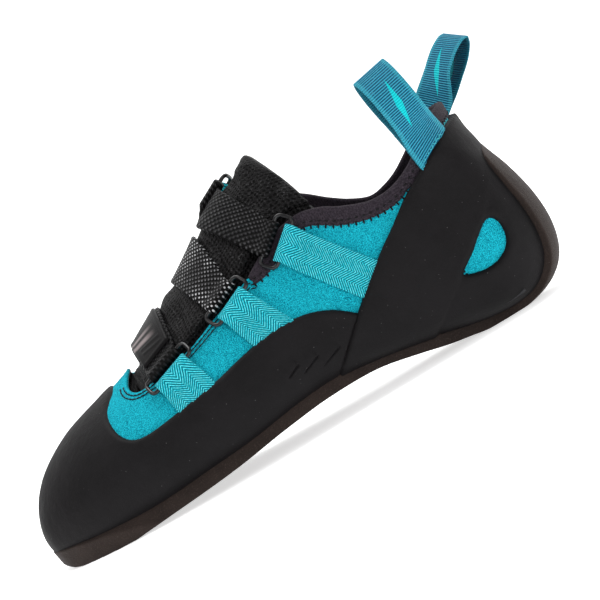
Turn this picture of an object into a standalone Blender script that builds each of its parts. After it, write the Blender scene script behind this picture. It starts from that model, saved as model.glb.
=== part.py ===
"""A velcro climbing shoe for the left foot, standing on its sole: upper, rubber, tongue, straps and rings.

Sizes are in millimetres and become metres when a mesh is made. Along the shoe, x runs from the toe tip (0)
back to the heel (250), z is the height above the floor, and y points to the inner side of the foot.
The toe points along -X in the finished part, whose origin is on the floor under the middle of the heel.
"""

import math

import bmesh
import bpy
import numpy as np

for old in list(bpy.data.objects):
    bpy.data.objects.remove(old)

# Driving sizes
MM = 0.001
HEEL_REST_X = 219.0
UPPER_WALL = 1.8
RUBBER = 1.9
BAND_STEP = 0.8
CLEAR = 0.3
SOLE_SIDE = 2.6
SOLE_DRAFT = 1.3
SOLE_WRAPS_FROM, SOLE_WRAPS_BY = 12.2, 14.2
TOE_CRISP_FROM, TOE_CRISP_BY = 0.2, 2.2
DRAFT_DEPTH = 9.0
BINDING_PROUD = 0.45
BINDING_WALL = 2.9
WEBBING = 1.4
STRAP = 1.9
OVER_BINDING = 0.75
FAR_AWAY = 90.0
MID_Y = 3.0
MID_BLEND = 2.0
LATERAL, MEDIAL = -1, 1

# Sections of the upper's outer face, from the toe tip back, then fanned round the heel and up to the collar.
# sole and ridge: the points under and on top of the foot. middle: y of the section's centre. half: its half
# width. low: the share of the section below its widest place. square and peak: the powers of the lower and
# upper half, where 2 is an ellipse. lean: how far the ridge lies towards the inner side. sole_t: sole's thickness.
COLUMNS = ("sole_x", "sole_z", "ridge_x", "ridge_z", "middle", "half", "low", "square", "peak", "lean", "sole_t")
SECTIONS = (
    (2.4, 15.0, 2.4, 15.0, 12.8, 0.0, 0.45, 2.2, 2.0, 0.0, 4.6),
    (4.2, 7.4, 4.4, 23.4, 12.5, 10.6, 0.45, 2.4, 2.0, 0.3, 4.6),
    (8.5, 5.4, 9.2, 31.8, 11.5, 16.6, 0.42, 2.8, 2.0, 1.0, 4.6),
    (17.0, 4.7, 17.2, 39.6, 9.5, 23.5, 0.40, 3.2, 2.0, 2.0, 5.3),
    (31.0, 4.7, 30.0, 47.2, 6.5, 31.0, 0.38, 3.6, 2.0, 3.5, 5.3),
    (50.0, 6.3, 47.0, 54.0, 3.8, 37.2, 0.37, 3.8, 2.0, 5.0, 4.6),
    (70.0, 8.2, 64.0, 59.2, 1.5, 40.3, 0.36, 3.8, 1.9, 6.5, 4.5),
    (91.0, 10.3, 82.0, 69.0, -1.2, 40.3, 0.34, 3.6, 1.75, 8.0, 4.4),
    (113.0, 13.3, 100.0, 79.3, -3.2, 37.4, 0.31, 3.4, 1.70, 8.5, 4.3),
    (135.0, 15.2, 115.0, 89.3, -3.4, 33.6, 0.30, 3.2, 1.70, 7.5, 4.2),
    (157.0, 14.7, 128.0, 98.8, -2.4, 31.0, 0.30, 3.1, 1.75, 5.5, 4.2),
    (178.0, 11.1, 139.0, 104.6, -1.2, 30.0, 0.30, 3.0, 1.85, 4.0, 4.2),
    (198.0, 7.0, 147.5, 108.6, -0.4, 30.0, 0.29, 2.9, 2.0, 3.0, 4.4),
    (216.0, 4.6, 154.0, 112.2, 0.0, 30.0, 0.27, 2.8, 2.0, 2.0, 5.5),
    (231.0, 6.6, 158.0, 115.0, 0.0, 29.8, 0.27, 2.5, 2.0, 1.5, 4.9),
    (240.6, 14.5, 160.0, 117.0, 0.0, 29.4, 0.28, 2.3, 2.0, 1.0, 5.0),
    (244.7, 26.5, 162.0, 119.0, 0.0, 28.9, 0.29, 2.1, 2.0, 0.5, 5.0),
    (244.3, 40.0, 164.0, 121.0, 0.0, 28.3, 0.30, 2.0, 2.0, 0.0, 4.9),
    (241.0, 54.0, 166.0, 123.0, 0.0, 27.7, 0.31, 2.0, 2.0, 0.0, 4.3),
    (236.6, 67.0, 168.0, 125.0, 0.0, 27.0, 0.32, 2.0, 2.0, 0.0, 2.4),
    (234.6, 80.0, 170.0, 127.0, 0.0, 26.4, 0.33, 2.0, 2.0, 0.0, 2.4),
    (234.8, 94.0, 172.0, 130.0, 0.0, 26.0, 0.34, 2.0, 2.0, 0.0, 2.4),
)
LAST_SECTION = len(SECTIONS) - 1

# Lines seen from the side, as (x, z) points of a smooth curve.
SOLE_LINE = (
    (-8, 10.1), (3, 9.8), (25, 8.8), (50, 8.4), (75, 10.4), (98, 12.2), (122, 15.4), (141, 16.1), (162, 13.3),
    (183, 9.4), (200, 5.2), (211, 3.4), (222, 3.2), (231, 6.0), (238.3, 13.5), (241.4, 24), (241.2, 38),
    (238.9, 51), (237.0, 61), (237.6, 65.6), (240.5, 68.2), (246, 69.5), (262, 70.5),
)
RAND_TOP = (
    (60.6, 68.0),
    (59.6, 61.5),
    (57.4, 57.6),
    (53, 55.0), (50.2, 51.8), (49.3, 47.0), (50.7, 41.4), (54.5, 37.6), (60, 36.2),
    (69, 36.9), (82, 38.9), (97, 41.2), (112, 44.6), (127, 46.8), (141, 45.8), (152, 41.6), (161, 34.6),
)
BAND_FRONT = (
    (141.4, 15.6), (151, 25.2), (161, 34.6), (170.4, 42.7), (181.6, 51.6), (191.4, 58.4), (200.3, 65.0),
    (214.6, 73.4), (225, 78.9), (236.7, 83.7), (262, 85),
)
BAND_BACK = ((181.5, 6.5), (187.5, 13.0), (194.2, 18.6), (204.6, 26.6), (213.7, 33.4))
CUTOUT = (
    (204.8, 26.4), (213.7, 32.6), (220.9, 38.6), (226.0, 41.4), (229.4, 39.6), (230.5, 35.2), (229.2, 29.2),
    (224.6, 24.8), (217.6, 23.0), (210.4, 24.0),
)
THROAT_TOP = {
    LATERAL: ((70, 66), (66.8, 60.8), (64.2, 57.6), (63.2, 54.2), (65.8, 51.2), (71.2, 50.4), (82, 51.8),
              (94.4, 54.6), (109.7, 60.5), (124.2, 66.9), (129.0, 69.4)),
    MEDIAL: ((70, 66), (66.8, 60.8), (66.0, 58.6), (68.4, 56.6), (80, 59.5), (100, 66.5), (118, 75.0),
             (129.0, 80.8)),
}
BINDING_FOOT = {
    LATERAL: ((130.4, 66.2), (137, 67.3), (147, 71.6), (157.6, 75.8), (164.3, 74.2), (172.2, 69.6), (182.6, 66.0),
              (193, 65.1), (200, 66.4), (206.5, 69.8), (214, 74.2), (225, 79.8), (236.7, 84.6), (262, 86)),
    MEDIAL: ((130.4, 77.4), (140, 82.6), (149, 86.4), (157, 86.4), (165.5, 80.8), (174, 73.2), (182.6, 67.2),
             (191, 64.4), (199, 65.8), (206.5, 69.8), (214, 74.2), (225, 79.8), (236.7, 84.6), (262, 86)),
}
BINDING_TOP = {
    LATERAL: ((129.4, 70.3), (140, 76.4), (149, 80.4), (155.6, 81.8), (161.7, 82.0), (169.5, 79.8), (175.6, 76.5),
              (184.4, 72.9), (190.5, 71.7), (197.4, 72.1), (204.4, 74.4), (211.4, 78.3), (220, 84.4), (228.5, 89.6),
              (236.5, 91.4), (262, 92)),
    MEDIAL: ((129.4, 81.7), (140, 88.2), (149, 91.8), (158, 91.2), (167, 85.8), (175, 79.2), (182.6, 74.0),
             (190.5, 70.6), (197.4, 71.4), (204.4, 74.0), (211.4, 78.3), (220, 84.4), (228.5, 89.6),
             (236.5, 91.4), (262, 92)),
}


def smooth_line(points, per_span=2):
    """A curve through the points, each span's slope at a point taken from its neighbours (Catmull-Rom)."""
    p = np.array(points, float)
    p = np.vstack([2 * p[0] - p[1], p, 2 * p[-1] - p[-2]])
    a, b, c, d = p[:-3], p[1:-2], p[2:-1], p[3:]
    f = (np.arange(per_span) / per_span)[None, :, None]
    a, b, c, d = (k[:, None, :] for k in (a, b, c, d))
    curve = 0.5 * (2 * b + (c - a) * f + (2 * a - 5 * b + 4 * c - d) * f**2 + (3 * b - a - 3 * c + d) * f**3)
    return np.vstack([curve.reshape(-1, p.shape[1]), p[-2]])


class Foot:
    """The upper's outer face as a table of points and outward normals over section s and girth v.

    v is 0 on the ridge and 1 in magnitude under the foot; it is negative on the outer side of the foot.
    """

    PER_SECTION = 16
    HALF_GIRTH = 96
    LEAN_POWER = 1.6
    CORNER_TURN = 0.7

    def __init__(self):
        rows = np.array(SECTIONS, float)
        before = rows[1].copy()
        before[[0, 1, 2, 3]] = rows[1][[2, 3, 0, 1]]
        before[5] = -rows[1][5]
        rows = np.vstack([before, rows, 2 * rows[-1] - rows[-2]])
        self.s = np.arange(LAST_SECTION * self.PER_SECTION + 1) / self.PER_SECTION
        i = np.minimum(self.s.astype(int), LAST_SECTION - 1)
        f = (self.s - i)[:, None]
        a, b, c, d = (rows[i + k] for k in range(4))
        values = 0.5 * (2 * b + (c - a) * f + (2 * a - 5 * b + 4 * c - d) * f**2 + (3 * b - a - 3 * c + d) * f**3)
        column = dict(zip(COLUMNS, values.T))
        self.sole_t = column["sole_t"]
        sole = np.stack([column["sole_x"], column["sole_z"]], 1)
        rise = np.stack([column["ridge_x"], column["ridge_z"]], 1) - sole
        height = np.maximum(np.linalg.norm(rise, axis=1), 1e-6)
        rise = rise / height[:, None]
        rise[0] = rise[1]
        self.v = np.linspace(-1, 1, 2 * self.HALF_GIRTH + 1)
        angle = np.linspace(math.pi / 2, -math.pi / 2, 8 * self.HALF_GIRTH + 1)
        cosine, sine = np.cos(angle).clip(0), np.sin(angle)
        self.points = np.zeros((len(self.s), len(self.v), 3))
        for k in range(len(self.s)):
            power = np.where(sine >= 0, column["peak"][k], column["square"][k])
            reach = np.where(sine >= 0, 1 - column["low"][k], column["low"][k]) * height[k]
            across = column["half"][k] * cosine ** (2 / power)
            up = reach * np.sign(sine) * np.abs(sine) ** (2 / power)
            lean = column["lean"][k] * np.clip(np.sign(sine) * np.abs(sine) ** (2 / power), 0, 1) ** self.LEAN_POWER
            for side in (LATERAL, MEDIAL):
                y = side * across + lean
                length = np.append(0, np.cumsum(np.hypot(np.diff(y), np.diff(up))))
                girth = length / max(length[-1], 1e-9)
                mine = self.v * side >= 0
                wanted = np.abs(self.v[mine])
                side_y = np.interp(wanted, girth, y)
                side_up = np.interp(wanted, girth, up) + column["low"][k] * height[k]
                self.points[k, mine, 0] = sole[k, 0] + rise[k, 0] * side_up
                self.points[k, mine, 1] = column["middle"][k] + side_y
                self.points[k, mine, 2] = sole[k, 1] + rise[k, 1] * side_up
        self.down = -np.stack([rise[:, 0], 0 * height, rise[:, 1]], 1)
        along = np.gradient(self.points, axis=0)
        wrapped = np.concatenate([self.points[:, -2:-1], self.points, self.points[:, 1:2]], axis=1)
        round_it = wrapped[:, 2:] - wrapped[:, :-2]
        normals = np.cross(along, round_it)
        normals /= np.maximum(np.linalg.norm(normals, axis=2, keepdims=True), 1e-9)
        normals[0] = (-1, 0, 0)
        self.normals = normals

    def read(self, table, s, v):
        """The table's values at any s and v, by straight interpolation between its rows and columns."""
        r = np.clip(np.asarray(s, float) * self.PER_SECTION, 0, len(self.s) - 1)
        q = np.clip((np.asarray(v, float) + 1) * self.HALF_GIRTH, 0, len(self.v) - 1)
        i = np.minimum(r.astype(int), len(self.s) - 2)
        j = np.minimum(q.astype(int), len(self.v) - 2)
        f, g = (r - i)[..., None], (q - j)[..., None]
        low = table[i, j] * (1 - g) + table[i, j + 1] * g
        high = table[i + 1, j] * (1 - g) + table[i + 1, j + 1] * g
        return low * (1 - f) + high * f

    def at(self, s, v, lift=0.0):
        """Points lifted off the upper's outer face by lift."""
        normal = self.read(self.normals, s, v)
        normal /= np.linalg.norm(normal, axis=-1, keepdims=True)
        return self.read(self.points, s, v) + normal * np.asarray(lift)[..., None]

    def corner(self, s, side):
        """The girth v at which the face has turned halfway from the side of the foot to its sole."""
        k = int(round(s * self.PER_SECTION))
        turned = self.normals[k] @ self.down[k]
        wanted = np.where((self.v * side > 0.2) & (turned > self.CORNER_TURN * turned.max()))[0]
        return self.v[wanted[0 if side > 0 else -1]]

    def spot(self, x, z, side):
        """The s and v of the place on one side of the foot that is seen at (x, z) from the side."""
        far = np.hypot(self.points[:, :, 0] - x, self.points[:, :, 2] - z) + 1e3 * (self.v * side < 0.02)
        k = np.unravel_index(np.argmin(far), far.shape)
        return self.s[k[0]], self.v[k[1]]


FOOT = Foot()

# The grid that the solids share: sections close together at the toe, and columns set by the sole's corner.
TOE_ROWS = (0.0, 0.45, 1.0, 1.7, 2.4, 3.15, 4.1, 5.2)
HEEL_ROWS = (12.6, 13.2, 13.8, 14.5)
GRID_S = np.array(TOE_ROWS + tuple(np.linspace(6.3, 11.7, 6)) + HEEL_ROWS + tuple(np.linspace(15.3, LAST_SECTION, 7)))
RIDGE_TO_CORNER = 6
CORNER_TO_SOLE = 4


def grid():
    """s and v of every point of the grid, one row a section, from under the foot round the outer side."""
    rows = []
    for s in GRID_S:
        halves = []
        for side in (LATERAL, MEDIAL):
            corner = abs(FOOT.corner(max(s, 0.5), side))
            top = np.linspace(0, corner, RIDGE_TO_CORNER, endpoint=False)
            halves.append(np.append(top, np.linspace(corner, 1, CORNER_TO_SOLE + 1)))
        rows.append(np.append(-halves[0][::-1], halves[1][1:-1]))
    v = np.array(rows)
    return np.repeat(GRID_S[:, None], v.shape[1], axis=1), v


GRID = grid()


def to_part(points):
    """Millimetres along the shoe become metres in the part's frame."""
    return (np.asarray(points, float) - (HEEL_REST_X, 0, 0)) * MM


def make_object(name, points, faces, helper=False):
    mesh = bpy.data.meshes.new(name)
    mesh.from_pydata(to_part(points).tolist(), [], faces)
    work = bmesh.new()
    work.from_mesh(mesh)
    bmesh.ops.recalc_face_normals(work, faces=work.faces)
    work.to_mesh(mesh)
    work.free()
    made = bpy.data.objects.new(name, mesh)
    bpy.context.scene.collection.objects.link(made)
    if helper:
        made.hide_render = True
        made.display_type = "WIRE"
    return made


def tube_faces(rows, columns):
    """Faces of a closed tube whose first row is one point and whose last row is capped.

    Each cell is split along one diagonal, so that forms of different lifts stay parallel.
    """
    faces = [(0, 1 + (j + 1) % columns, 1 + j) for j in range(columns)]
    for i in range(rows - 2):
        low, high = 1 + i * columns, 1 + (i + 1) * columns
        for j in range(columns):
            k = (j + 1) % columns
            faces += [(low + j, low + k, high + k), (low + j, high + k, high + j)]
    last = 1 + (rows - 2) * columns
    return faces + [tuple(range(last, last + columns))]


def whole_form(name, lift, helper=True):
    """The foot's closed form, lifted off the upper's outer face: the stock that shells are cut from."""
    points = FOOT.at(*GRID, lift)
    flat = np.vstack([points[0, :1], points[1:].reshape(-1, 3)])
    return make_object(name, flat, tube_faces(*points.shape[:2]), helper)


def sole_form(name):
    """The outsole's outer form: a crisp-edged box round the foot, flat where it would go below the floor."""
    s, v = GRID
    base = FOOT.at(s, v)
    normal = FOOT.read(FOOT.normals, s, v)
    normal /= np.linalg.norm(normal, axis=-1, keepdims=True)
    rows = np.round(GRID_S * FOOT.PER_SECTION).astype(int)
    down = FOOT.down[rows]
    sole_t = FOOT.sole_t[rows]
    turned = np.clip(np.einsum("ijk,ik->ij", normal, down), 0, 1)
    side_on = np.sqrt(np.maximum(1 - turned**2, 1e-4))
    under = FOOT.points[rows, 0]
    depth = np.einsum("ijk,ik->ij", under[:, None] - base, down)
    widest = FOOT.points[:, [np.argmin(FOOT.v), np.argmin(FOOT.v)]]
    turn = np.abs(np.einsum("ijk,ik->ij", FOOT.normals, FOOT.down))
    for column, side in enumerate((LATERAL, MEDIAL)):
        pick = np.argmin(turn + 9 * (FOOT.v * side < 0.15), axis=1)
        widest[:, column] = FOOT.points[np.arange(len(pick)), pick]
    outline = widest.reshape(-1, 3)
    recess = np.zeros(s.shape)
    for i in range(len(rows)):
        away = outline[None] - base[i][:, None]
        away -= (away @ down[i])[..., None] * down[i]
        recess[i] = np.linalg.norm(away, axis=2).min(axis=1)
    draft = SOLE_SIDE - SOLE_DRAFT * np.clip(1 - depth / DRAFT_DEPTH, 0, 1)
    to_side = (recess + draft) / side_on
    to_sole = (depth + sole_t[:, None]) / np.maximum(turned, 1e-3)
    box = np.where(turned > 0, np.minimum(to_side, to_sole), SOLE_SIDE)
    round_off = SOLE_SIDE + (sole_t[:, None] - SOLE_SIDE) * turned**2
    crisp = np.clip((SOLE_WRAPS_BY - GRID_S) / (SOLE_WRAPS_BY - SOLE_WRAPS_FROM), 0, 1)
    crisp *= np.clip((GRID_S - TOE_CRISP_FROM) / (TOE_CRISP_BY - TOE_CRISP_FROM), 0, 1)
    reach = round_off + (box - round_off) * crisp[:, None]
    points = base + normal * reach[..., None]
    points[..., 2] = np.maximum(points[..., 2], 0)
    flat = np.vstack([points[0, :1], points[1:].reshape(-1, 3)])
    return make_object(name, flat, tube_faces(*points.shape[:2]), helper=False)


def side_prism(name, outer_side, inner_side=None):
    """A cutter with its outline seen from the side. It may change from one side of the ridge to the other."""
    outlines = [(-FAR_AWAY, outer_side), (FAR_AWAY, outer_side)]
    if inner_side is not None:
        outlines.insert(1, (MID_Y - MID_BLEND, outer_side))
        outlines[2:] = [(MID_Y + MID_BLEND, inner_side), (FAR_AWAY, inner_side)]
    n = len(outer_side)
    points = [(x, y, z) for y, ring in outlines for x, z in ring]
    faces = [tuple(range(n)), tuple(range(len(points) - n, len(points)))]
    for row in range(0, len(points) - n, n):
        for i in range(n):
            j = (i + 1) % n
            faces += [(row + i, row + j, row + n + j), (row + i, row + n + j, row + n + i)]
    return make_object(name, points, faces, helper=True)


def cut(target, tool, operation="DIFFERENCE"):
    step = target.modifiers.new(tool.name, "BOOLEAN")
    step.object = tool
    step.operation = operation
    step.solver = "EXACT"
    return target


def material(name, colour, roughness, metallic=0.0):
    made = bpy.data.materials.new(name)
    made.use_nodes = True
    shader = made.node_tree.nodes["Principled BSDF"]
    shader.inputs["Base Color"].default_value = (*colour, 1)
    shader.inputs["Roughness"].default_value = roughness
    shader.inputs["Metallic"].default_value = metallic
    return made


TEAL_CLOTH = material("teal_microfibre", (0.02, 0.50, 0.60), 0.9)
TEAL_TAPE = material("teal_webbing", (0.06, 0.55, 0.62), 0.8)
LOOP_TAPE = material("pull_tape", (0.02, 0.22, 0.33), 0.7)
BLACK_RUBBER = material("black_rubber", (0.018, 0.016, 0.016), 0.75)
SOLE_RUBBER = material("sole_rubber", (0.028, 0.023, 0.021), 0.8)
BLACK_MESH = material("black_mesh", (0.01, 0.01, 0.01), 0.95)
BLACK_KNIT = material("black_knit", (0.014, 0.011, 0.013), 0.95)
STRAP_CLOTH = material("strap_cloth", (0.016, 0.016, 0.017), 0.6)
RING_PLASTIC = material("ring_plastic", (0.015, 0.014, 0.015), 0.35)
BOARD = material("insole_board", (0.05, 0.05, 0.05), 0.9)


def dressed(made, finish):
    made.data.materials.clear()
    made.data.materials.append(finish)
    return made


SKY = 190.0
THROAT_POINTS = 13
COLLAR_POINTS = 16
sole_line = np.array(SOLE_LINE)
rand_top = smooth_line(RAND_TOP)
band_front = np.array(BAND_FRONT)


def above(line):
    """The outline of everything above a line that runs from the toe to the heel."""
    return np.vstack([line, [(line[-1, 0], SKY), (line[0, 0] - 7, SKY), (line[0, 0] - 7, line[0, 1] + 2)]])


def evenly(line, count):
    """The smooth curve through a line's points, as count points an equal length apart."""
    curve = smooth_line(line, 8)
    length = np.append(0, np.cumsum(np.hypot(*np.diff(curve, axis=0).T)))
    wanted = np.linspace(0, length[-1], count)
    return np.stack([np.interp(wanted, length, column) for column in curve.T], 1)


def upper_rim(side):
    """The upper's own top edge: the cut throat, then the line where the binding is sewn on."""
    return np.vstack([evenly(THROAT_TOP[side], THROAT_POINTS), evenly(BINDING_FOOT[side], COLLAR_POINTS)])


# The board's outline, seen from above: the foot's sole drawn in from its sides
BOARD_INSET = 9.0
BOARD_FROM, BOARD_TO = 2.6, 13.6
BOARD_ROWS = 12
BOARD_CUT_Z = (-20.0, 22.0)
BOARD_GAP = 0.4
BOARD_TOP = -2.1


def board_prism(name, inset):
    s = np.linspace(BOARD_FROM, BOARD_TO, BOARD_ROWS)
    outer = []
    for side in (LATERAL, MEDIAL):
        k = np.round(s * FOOT.PER_SECTION).astype(int)
        widest = np.array([FOOT.points[i][np.argmax(FOOT.points[i][:, 1] * side)] for i in k])
        under = FOOT.points[k, 0]
        across = widest[:, 1] - side * inset
        outer.append(np.stack([under[:, 0], across], 1))
    ring = np.vstack([outer[0], outer[1][::-1]])
    ends = np.clip(ring[:, 0], ring[:, 0].min() + inset - BOARD_INSET, ring[:, 0].max() - inset + BOARD_INSET)
    n = len(ring)
    points = [(x, y, z) for z in BOARD_CUT_Z for x, y in zip(ends, ring[:, 1])]
    faces = [tuple(range(n)), tuple(range(n, 2 * n))]
    faces += [(i, (i + 1) % n, n + (i + 1) % n, n + i) for i in range(n)]
    return make_object(name, points, faces, helper=True)


# Upper: one hollow wall, open at the throat, the collar and under the foot
upper = dressed(whole_form("upper", 0.0, helper=False), TEAL_CLOTH)
cut(upper, side_prism("cut_upper_rim", above(upper_rim(LATERAL)), above(upper_rim(MEDIAL))))
cut(upper, whole_form("cut_upper_inside", -UPPER_WALL))
cut(upper, board_prism("cut_under_foot", BOARD_INSET))

# Insole board: fills the opening under the foot
insole = dressed(whole_form("insole", -0.1, helper=False), BOARD)
cut(insole, board_prism("cut_board_edge", BOARD_INSET + BOARD_GAP), "INTERSECT")
cut(insole, whole_form("cut_board_top", BOARD_TOP))

# Collar binding: a folded knit strip along the ankle opening and the top of the throat
binding = dressed(whole_form("collar_binding", BINDING_PROUD, helper=False), BLACK_KNIT)
strips = []
for side in (LATERAL, MEDIAL):
    foot_line, top_line = (evenly(line[side], COLLAR_POINTS) for line in (BINDING_FOOT, BINDING_TOP))
    strips.append(np.vstack([foot_line + (0, CLEAR), top_line[::-1]]))
cut(binding, side_prism("cut_binding_strip", *strips), "INTERSECT")
cut(binding, whole_form("cut_binding_inside", BINDING_PROUD - BINDING_WALL))

# Outsole: one strip of rubber from the toe to the top of the heel
outsole = dressed(sole_form("outsole"), SOLE_RUBBER)
cut(outsole, whole_form("cut_sole_bed", CLEAR))
cut(outsole, side_prism("cut_sole_line", above(sole_line)))

# Toe rand: rubber over the toes and along both sides as far as the heel band
corner = np.array((band_front[0, 0] + 0.6, np.interp(band_front[0, 0], *sole_line.T) + CLEAR))
low_edge = np.vstack([sole_line[sole_line[:, 0] < corner[0] - 2] + (0, CLEAR), corner - (CLEAR, 0)])
band_gap = band_front[(band_front[:, 1] > corner[1] + 1) & (band_front[:, 0] < RAND_TOP[-1][0])] + (-CLEAR, 0)
rand_outline = np.vstack([low_edge, band_gap, rand_top[::-1], [(-8, 62)]])
toe_rand = dressed(whole_form("toe_rand", CLEAR + RUBBER, helper=False), BLACK_RUBBER)
cut(toe_rand, side_prism("cut_rand_outline", rand_outline), "INTERSECT")
cut(toe_rand, whole_form("cut_rand_inside", CLEAR))

# Heel rand: a cup with a drop-shaped window on each side, and the tension band that crosses it
behind = sole_line[np.argmax(sole_line[:, 0] > corner[0] + 2) :]
heel_outline = np.vstack([behind[::-1] + (-CLEAR, CLEAR), corner, band_front[band_front[:, 1] > corner[1] + 1]])
heel_rand = dressed(whole_form("heel_rand", CLEAR + RUBBER, helper=False), BLACK_RUBBER)
BAND_SPARE = (-3.0, 3.0)
band_leg = np.vstack([band_front[:7] + BAND_SPARE, CUTOUT[2::-1], smooth_line(BAND_BACK[:-1])[::-1]])
leg = whole_form("add_band_leg", CLEAR + RUBBER + BAND_STEP)
cut(leg, side_prism("cut_band_leg", band_leg), "INTERSECT")
cut(heel_rand, leg, "UNION")
cut(heel_rand, side_prism("cut_heel_outline", heel_outline), "INTERSECT")
cut(heel_rand, side_prism("cut_heel_window", CUTOUT))
cut(heel_rand, whole_form("cut_heel_inside", CLEAR))


def spots(pairs, side):
    """The (s, v) of places that are given as (x, z) seen from the side."""
    return np.array([FOOT.spot(x, z, side) for x, z in pairs])


def slab(name, edge_a, edge_b, low, high, across=3):
    """A soft strip between two edges, each a row of (s, v); low and high are its faces' lifts along it."""
    rows = len(edge_a)
    share = np.linspace(0, 1, across)[None, :, None]
    places = np.asarray(edge_a)[:, None] * (1 - share) + np.asarray(edge_b)[:, None] * share
    low = np.broadcast_to(np.reshape(low, (-1, 1)), (rows, across))
    high = np.broadcast_to(np.reshape(high, (-1, 1)), (rows, across))
    under = FOOT.at(places[..., 0], places[..., 1], low)
    over = FOOT.at(places[..., 0], places[..., 1], high)
    return make_object(name, *closed_slab(under, over))


def closed_slab(under, over):
    """Points and faces of a closed body between two grids of points."""
    rows, columns = under.shape[:2]
    n = rows * columns
    points = np.vstack([under.reshape(-1, 3), over.reshape(-1, 3)])
    faces = []
    for i in range(rows - 1):
        for j in range(columns - 1):
            a = i * columns + j
            cell = (a, a + 1, a + columns + 1, a + columns)
            faces += [cell, tuple(k + n for k in cell[::-1])]
    rim = list(range(columns))
    rim += [i * columns + columns - 1 for i in range(1, rows)]
    rim += [(rows - 1) * columns + j for j in range(columns - 2, -1, -1)]
    rim += [i * columns for i in range(rows - 2, 0, -1)]
    for a, b in zip(rim, rim[1:] + rim[:1]):
        faces.append((a, a + n, b + n, b))
    return points, faces


def rod(name, start, end, radius, sides):
    """A straight round bar between two points, to add to a strip or cut from it."""
    start, end = np.asarray(start, float), np.asarray(end, float)
    along = (end - start) / np.linalg.norm(end - start)
    one = np.cross(along, (0.0, 0.0, 1.0) if abs(along[2]) < 0.9 else (0.0, 1.0, 0.0))
    one /= np.linalg.norm(one)
    two = np.cross(along, one)
    turn = np.arange(sides) * 2 * math.pi / sides
    ring = radius * (np.cos(turn)[:, None] * one + np.sin(turn)[:, None] * two)
    points = np.vstack([start + ring, end + ring])
    faces = [tuple(range(sides)), tuple(range(sides, 2 * sides))]
    faces += [(i, (i + 1) % sides, sides + (i + 1) % sides, sides + i) for i in range(sides)]
    return make_object(name, points, faces, helper=True)


class Ring:
    """A rounded plastic ring that lies on the upper: its place, its two bars and its wire."""

    WIRE = 1.0
    HOLE = 1.3
    ROLL = 2.5
    BAR_GAP = 3.0
    CORNER = 2.0
    SIDES = 6
    ROLL_SIDES = 8
    HOLE_PAST = 5.0

    def __init__(self, name, side, off, ends):
        self.name = name
        self.side = side
        self.off = off
        (s0, v0), (s1, v1) = spots(ends, side)
        first, last = FOOT.at(s0, v0), FOOT.at(s1, v1)
        normal = FOOT.at((s0 + s1) / 2, (v0 + v1) / 2, 1.0) - FOOT.at((s0 + s1) / 2, (v0 + v1) / 2)
        self.along = (last - first) / np.linalg.norm(last - first)
        self.out = normal - self.along * (normal @ self.along)
        self.out /= np.linalg.norm(self.out)
        self.across = np.cross(self.out, self.along)
        if self.across[2] < 0:
            self.across = -self.across
        self.half = np.linalg.norm(last - first) / 2
        self.centre = FOOT.at((s0 + s1) / 2, (v0 + v1) / 2) + self.out * off

    def bar(self, which, short):
        """Both ends of a bar's axis: which is +1 for the strap's bar and -1 for the tape's."""
        middle = self.centre + self.across * self.BAR_GAP * which
        return middle - self.along * (self.half - short), middle + self.along * (self.half - short)

    def edge(self, which, short):
        """The (s, v) under both ends of a bar."""
        under = [p - self.out * self.off for p in self.bar(which, short)]
        return spots([(p[0], p[2]) for p in under], self.side)

    def loop(self):
        """The wire's path: a rectangle with round corners."""
        path = []
        reach = self.half - self.CORNER
        rise = self.BAR_GAP - self.CORNER
        for k, (a, b) in enumerate(((1, 1), (-1, 1), (-1, -1), (1, -1))):
            for step in range(2):
                turn = math.pi / 2 * (k + step)
                along = a * reach + self.CORNER * math.cos(turn)
                across = b * rise + self.CORNER * math.sin(turn)
                path.append(self.centre + self.along * along + self.across * across)
        return np.array(path)

    def build(self):
        path = self.loop()
        n, sides = len(path), self.SIDES
        run = np.roll(path, -1, axis=0) - np.roll(path, 1, axis=0)
        run /= np.linalg.norm(run, axis=1, keepdims=True)
        outward = np.cross(run, self.out)
        turn = np.arange(sides) * 2 * math.pi / sides
        tube = path[:, None] + self.WIRE * (
            np.cos(turn)[None, :, None] * outward[:, None] + np.sin(turn)[None, :, None] * self.out
        )
        faces = []
        for i in range(n):
            for j in range(sides):
                a, b = i * sides, ((i + 1) % n) * sides
                k = (j + 1) % sides
                faces.append((a + j, a + k, b + k, b + j))
        return dressed(make_object(self.name, tube.reshape(-1, 3), faces), RING_PLASTIC)

    def roll_on(self, strip, which, short):
        """The end of a tape or strap, turned round one bar of the ring."""
        start, end = self.bar(which, short)
        cut(strip, rod(f"roll_{strip.name}_{self.name}", start, end, self.ROLL, self.ROLL_SIDES), "UNION")
        reach = self.along * self.HOLE_PAST
        cut(strip, rod(f"hole_{strip.name}_{self.name}", start - reach, end + reach, self.HOLE, self.ROLL_SIDES))


# Rings, by their height off the upper and the (x, z) of their two ends seen from the side
RINGS = {
    "ring_near_toe": (LATERAL, 3.3, ((72.2, 48.6), (94.4, 56.6))),
    "ring_near_mid": (LATERAL, 3.3, ((107.0, 60.2), (126.6, 69.2))),
    "ring_near_top": (LATERAL, 3.4, ((137.2, 68.6), (153.8, 82.6))),
    "ring_far_toe": (MEDIAL, 3.3, ((72.4, 52.0), (94.0, 60.5))),
    "ring_far_mid": (MEDIAL, 3.3, ((102.0, 66.0), (122.0, 76.4))),
    "ring_far_top": (MEDIAL, 3.4, ((124.0, 92.0), (142.0, 102.0))),
}
rings = {name: Ring(name, *values) for name, values in RINGS.items()}
for ring in rings.values():
    ring.build()

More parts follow.
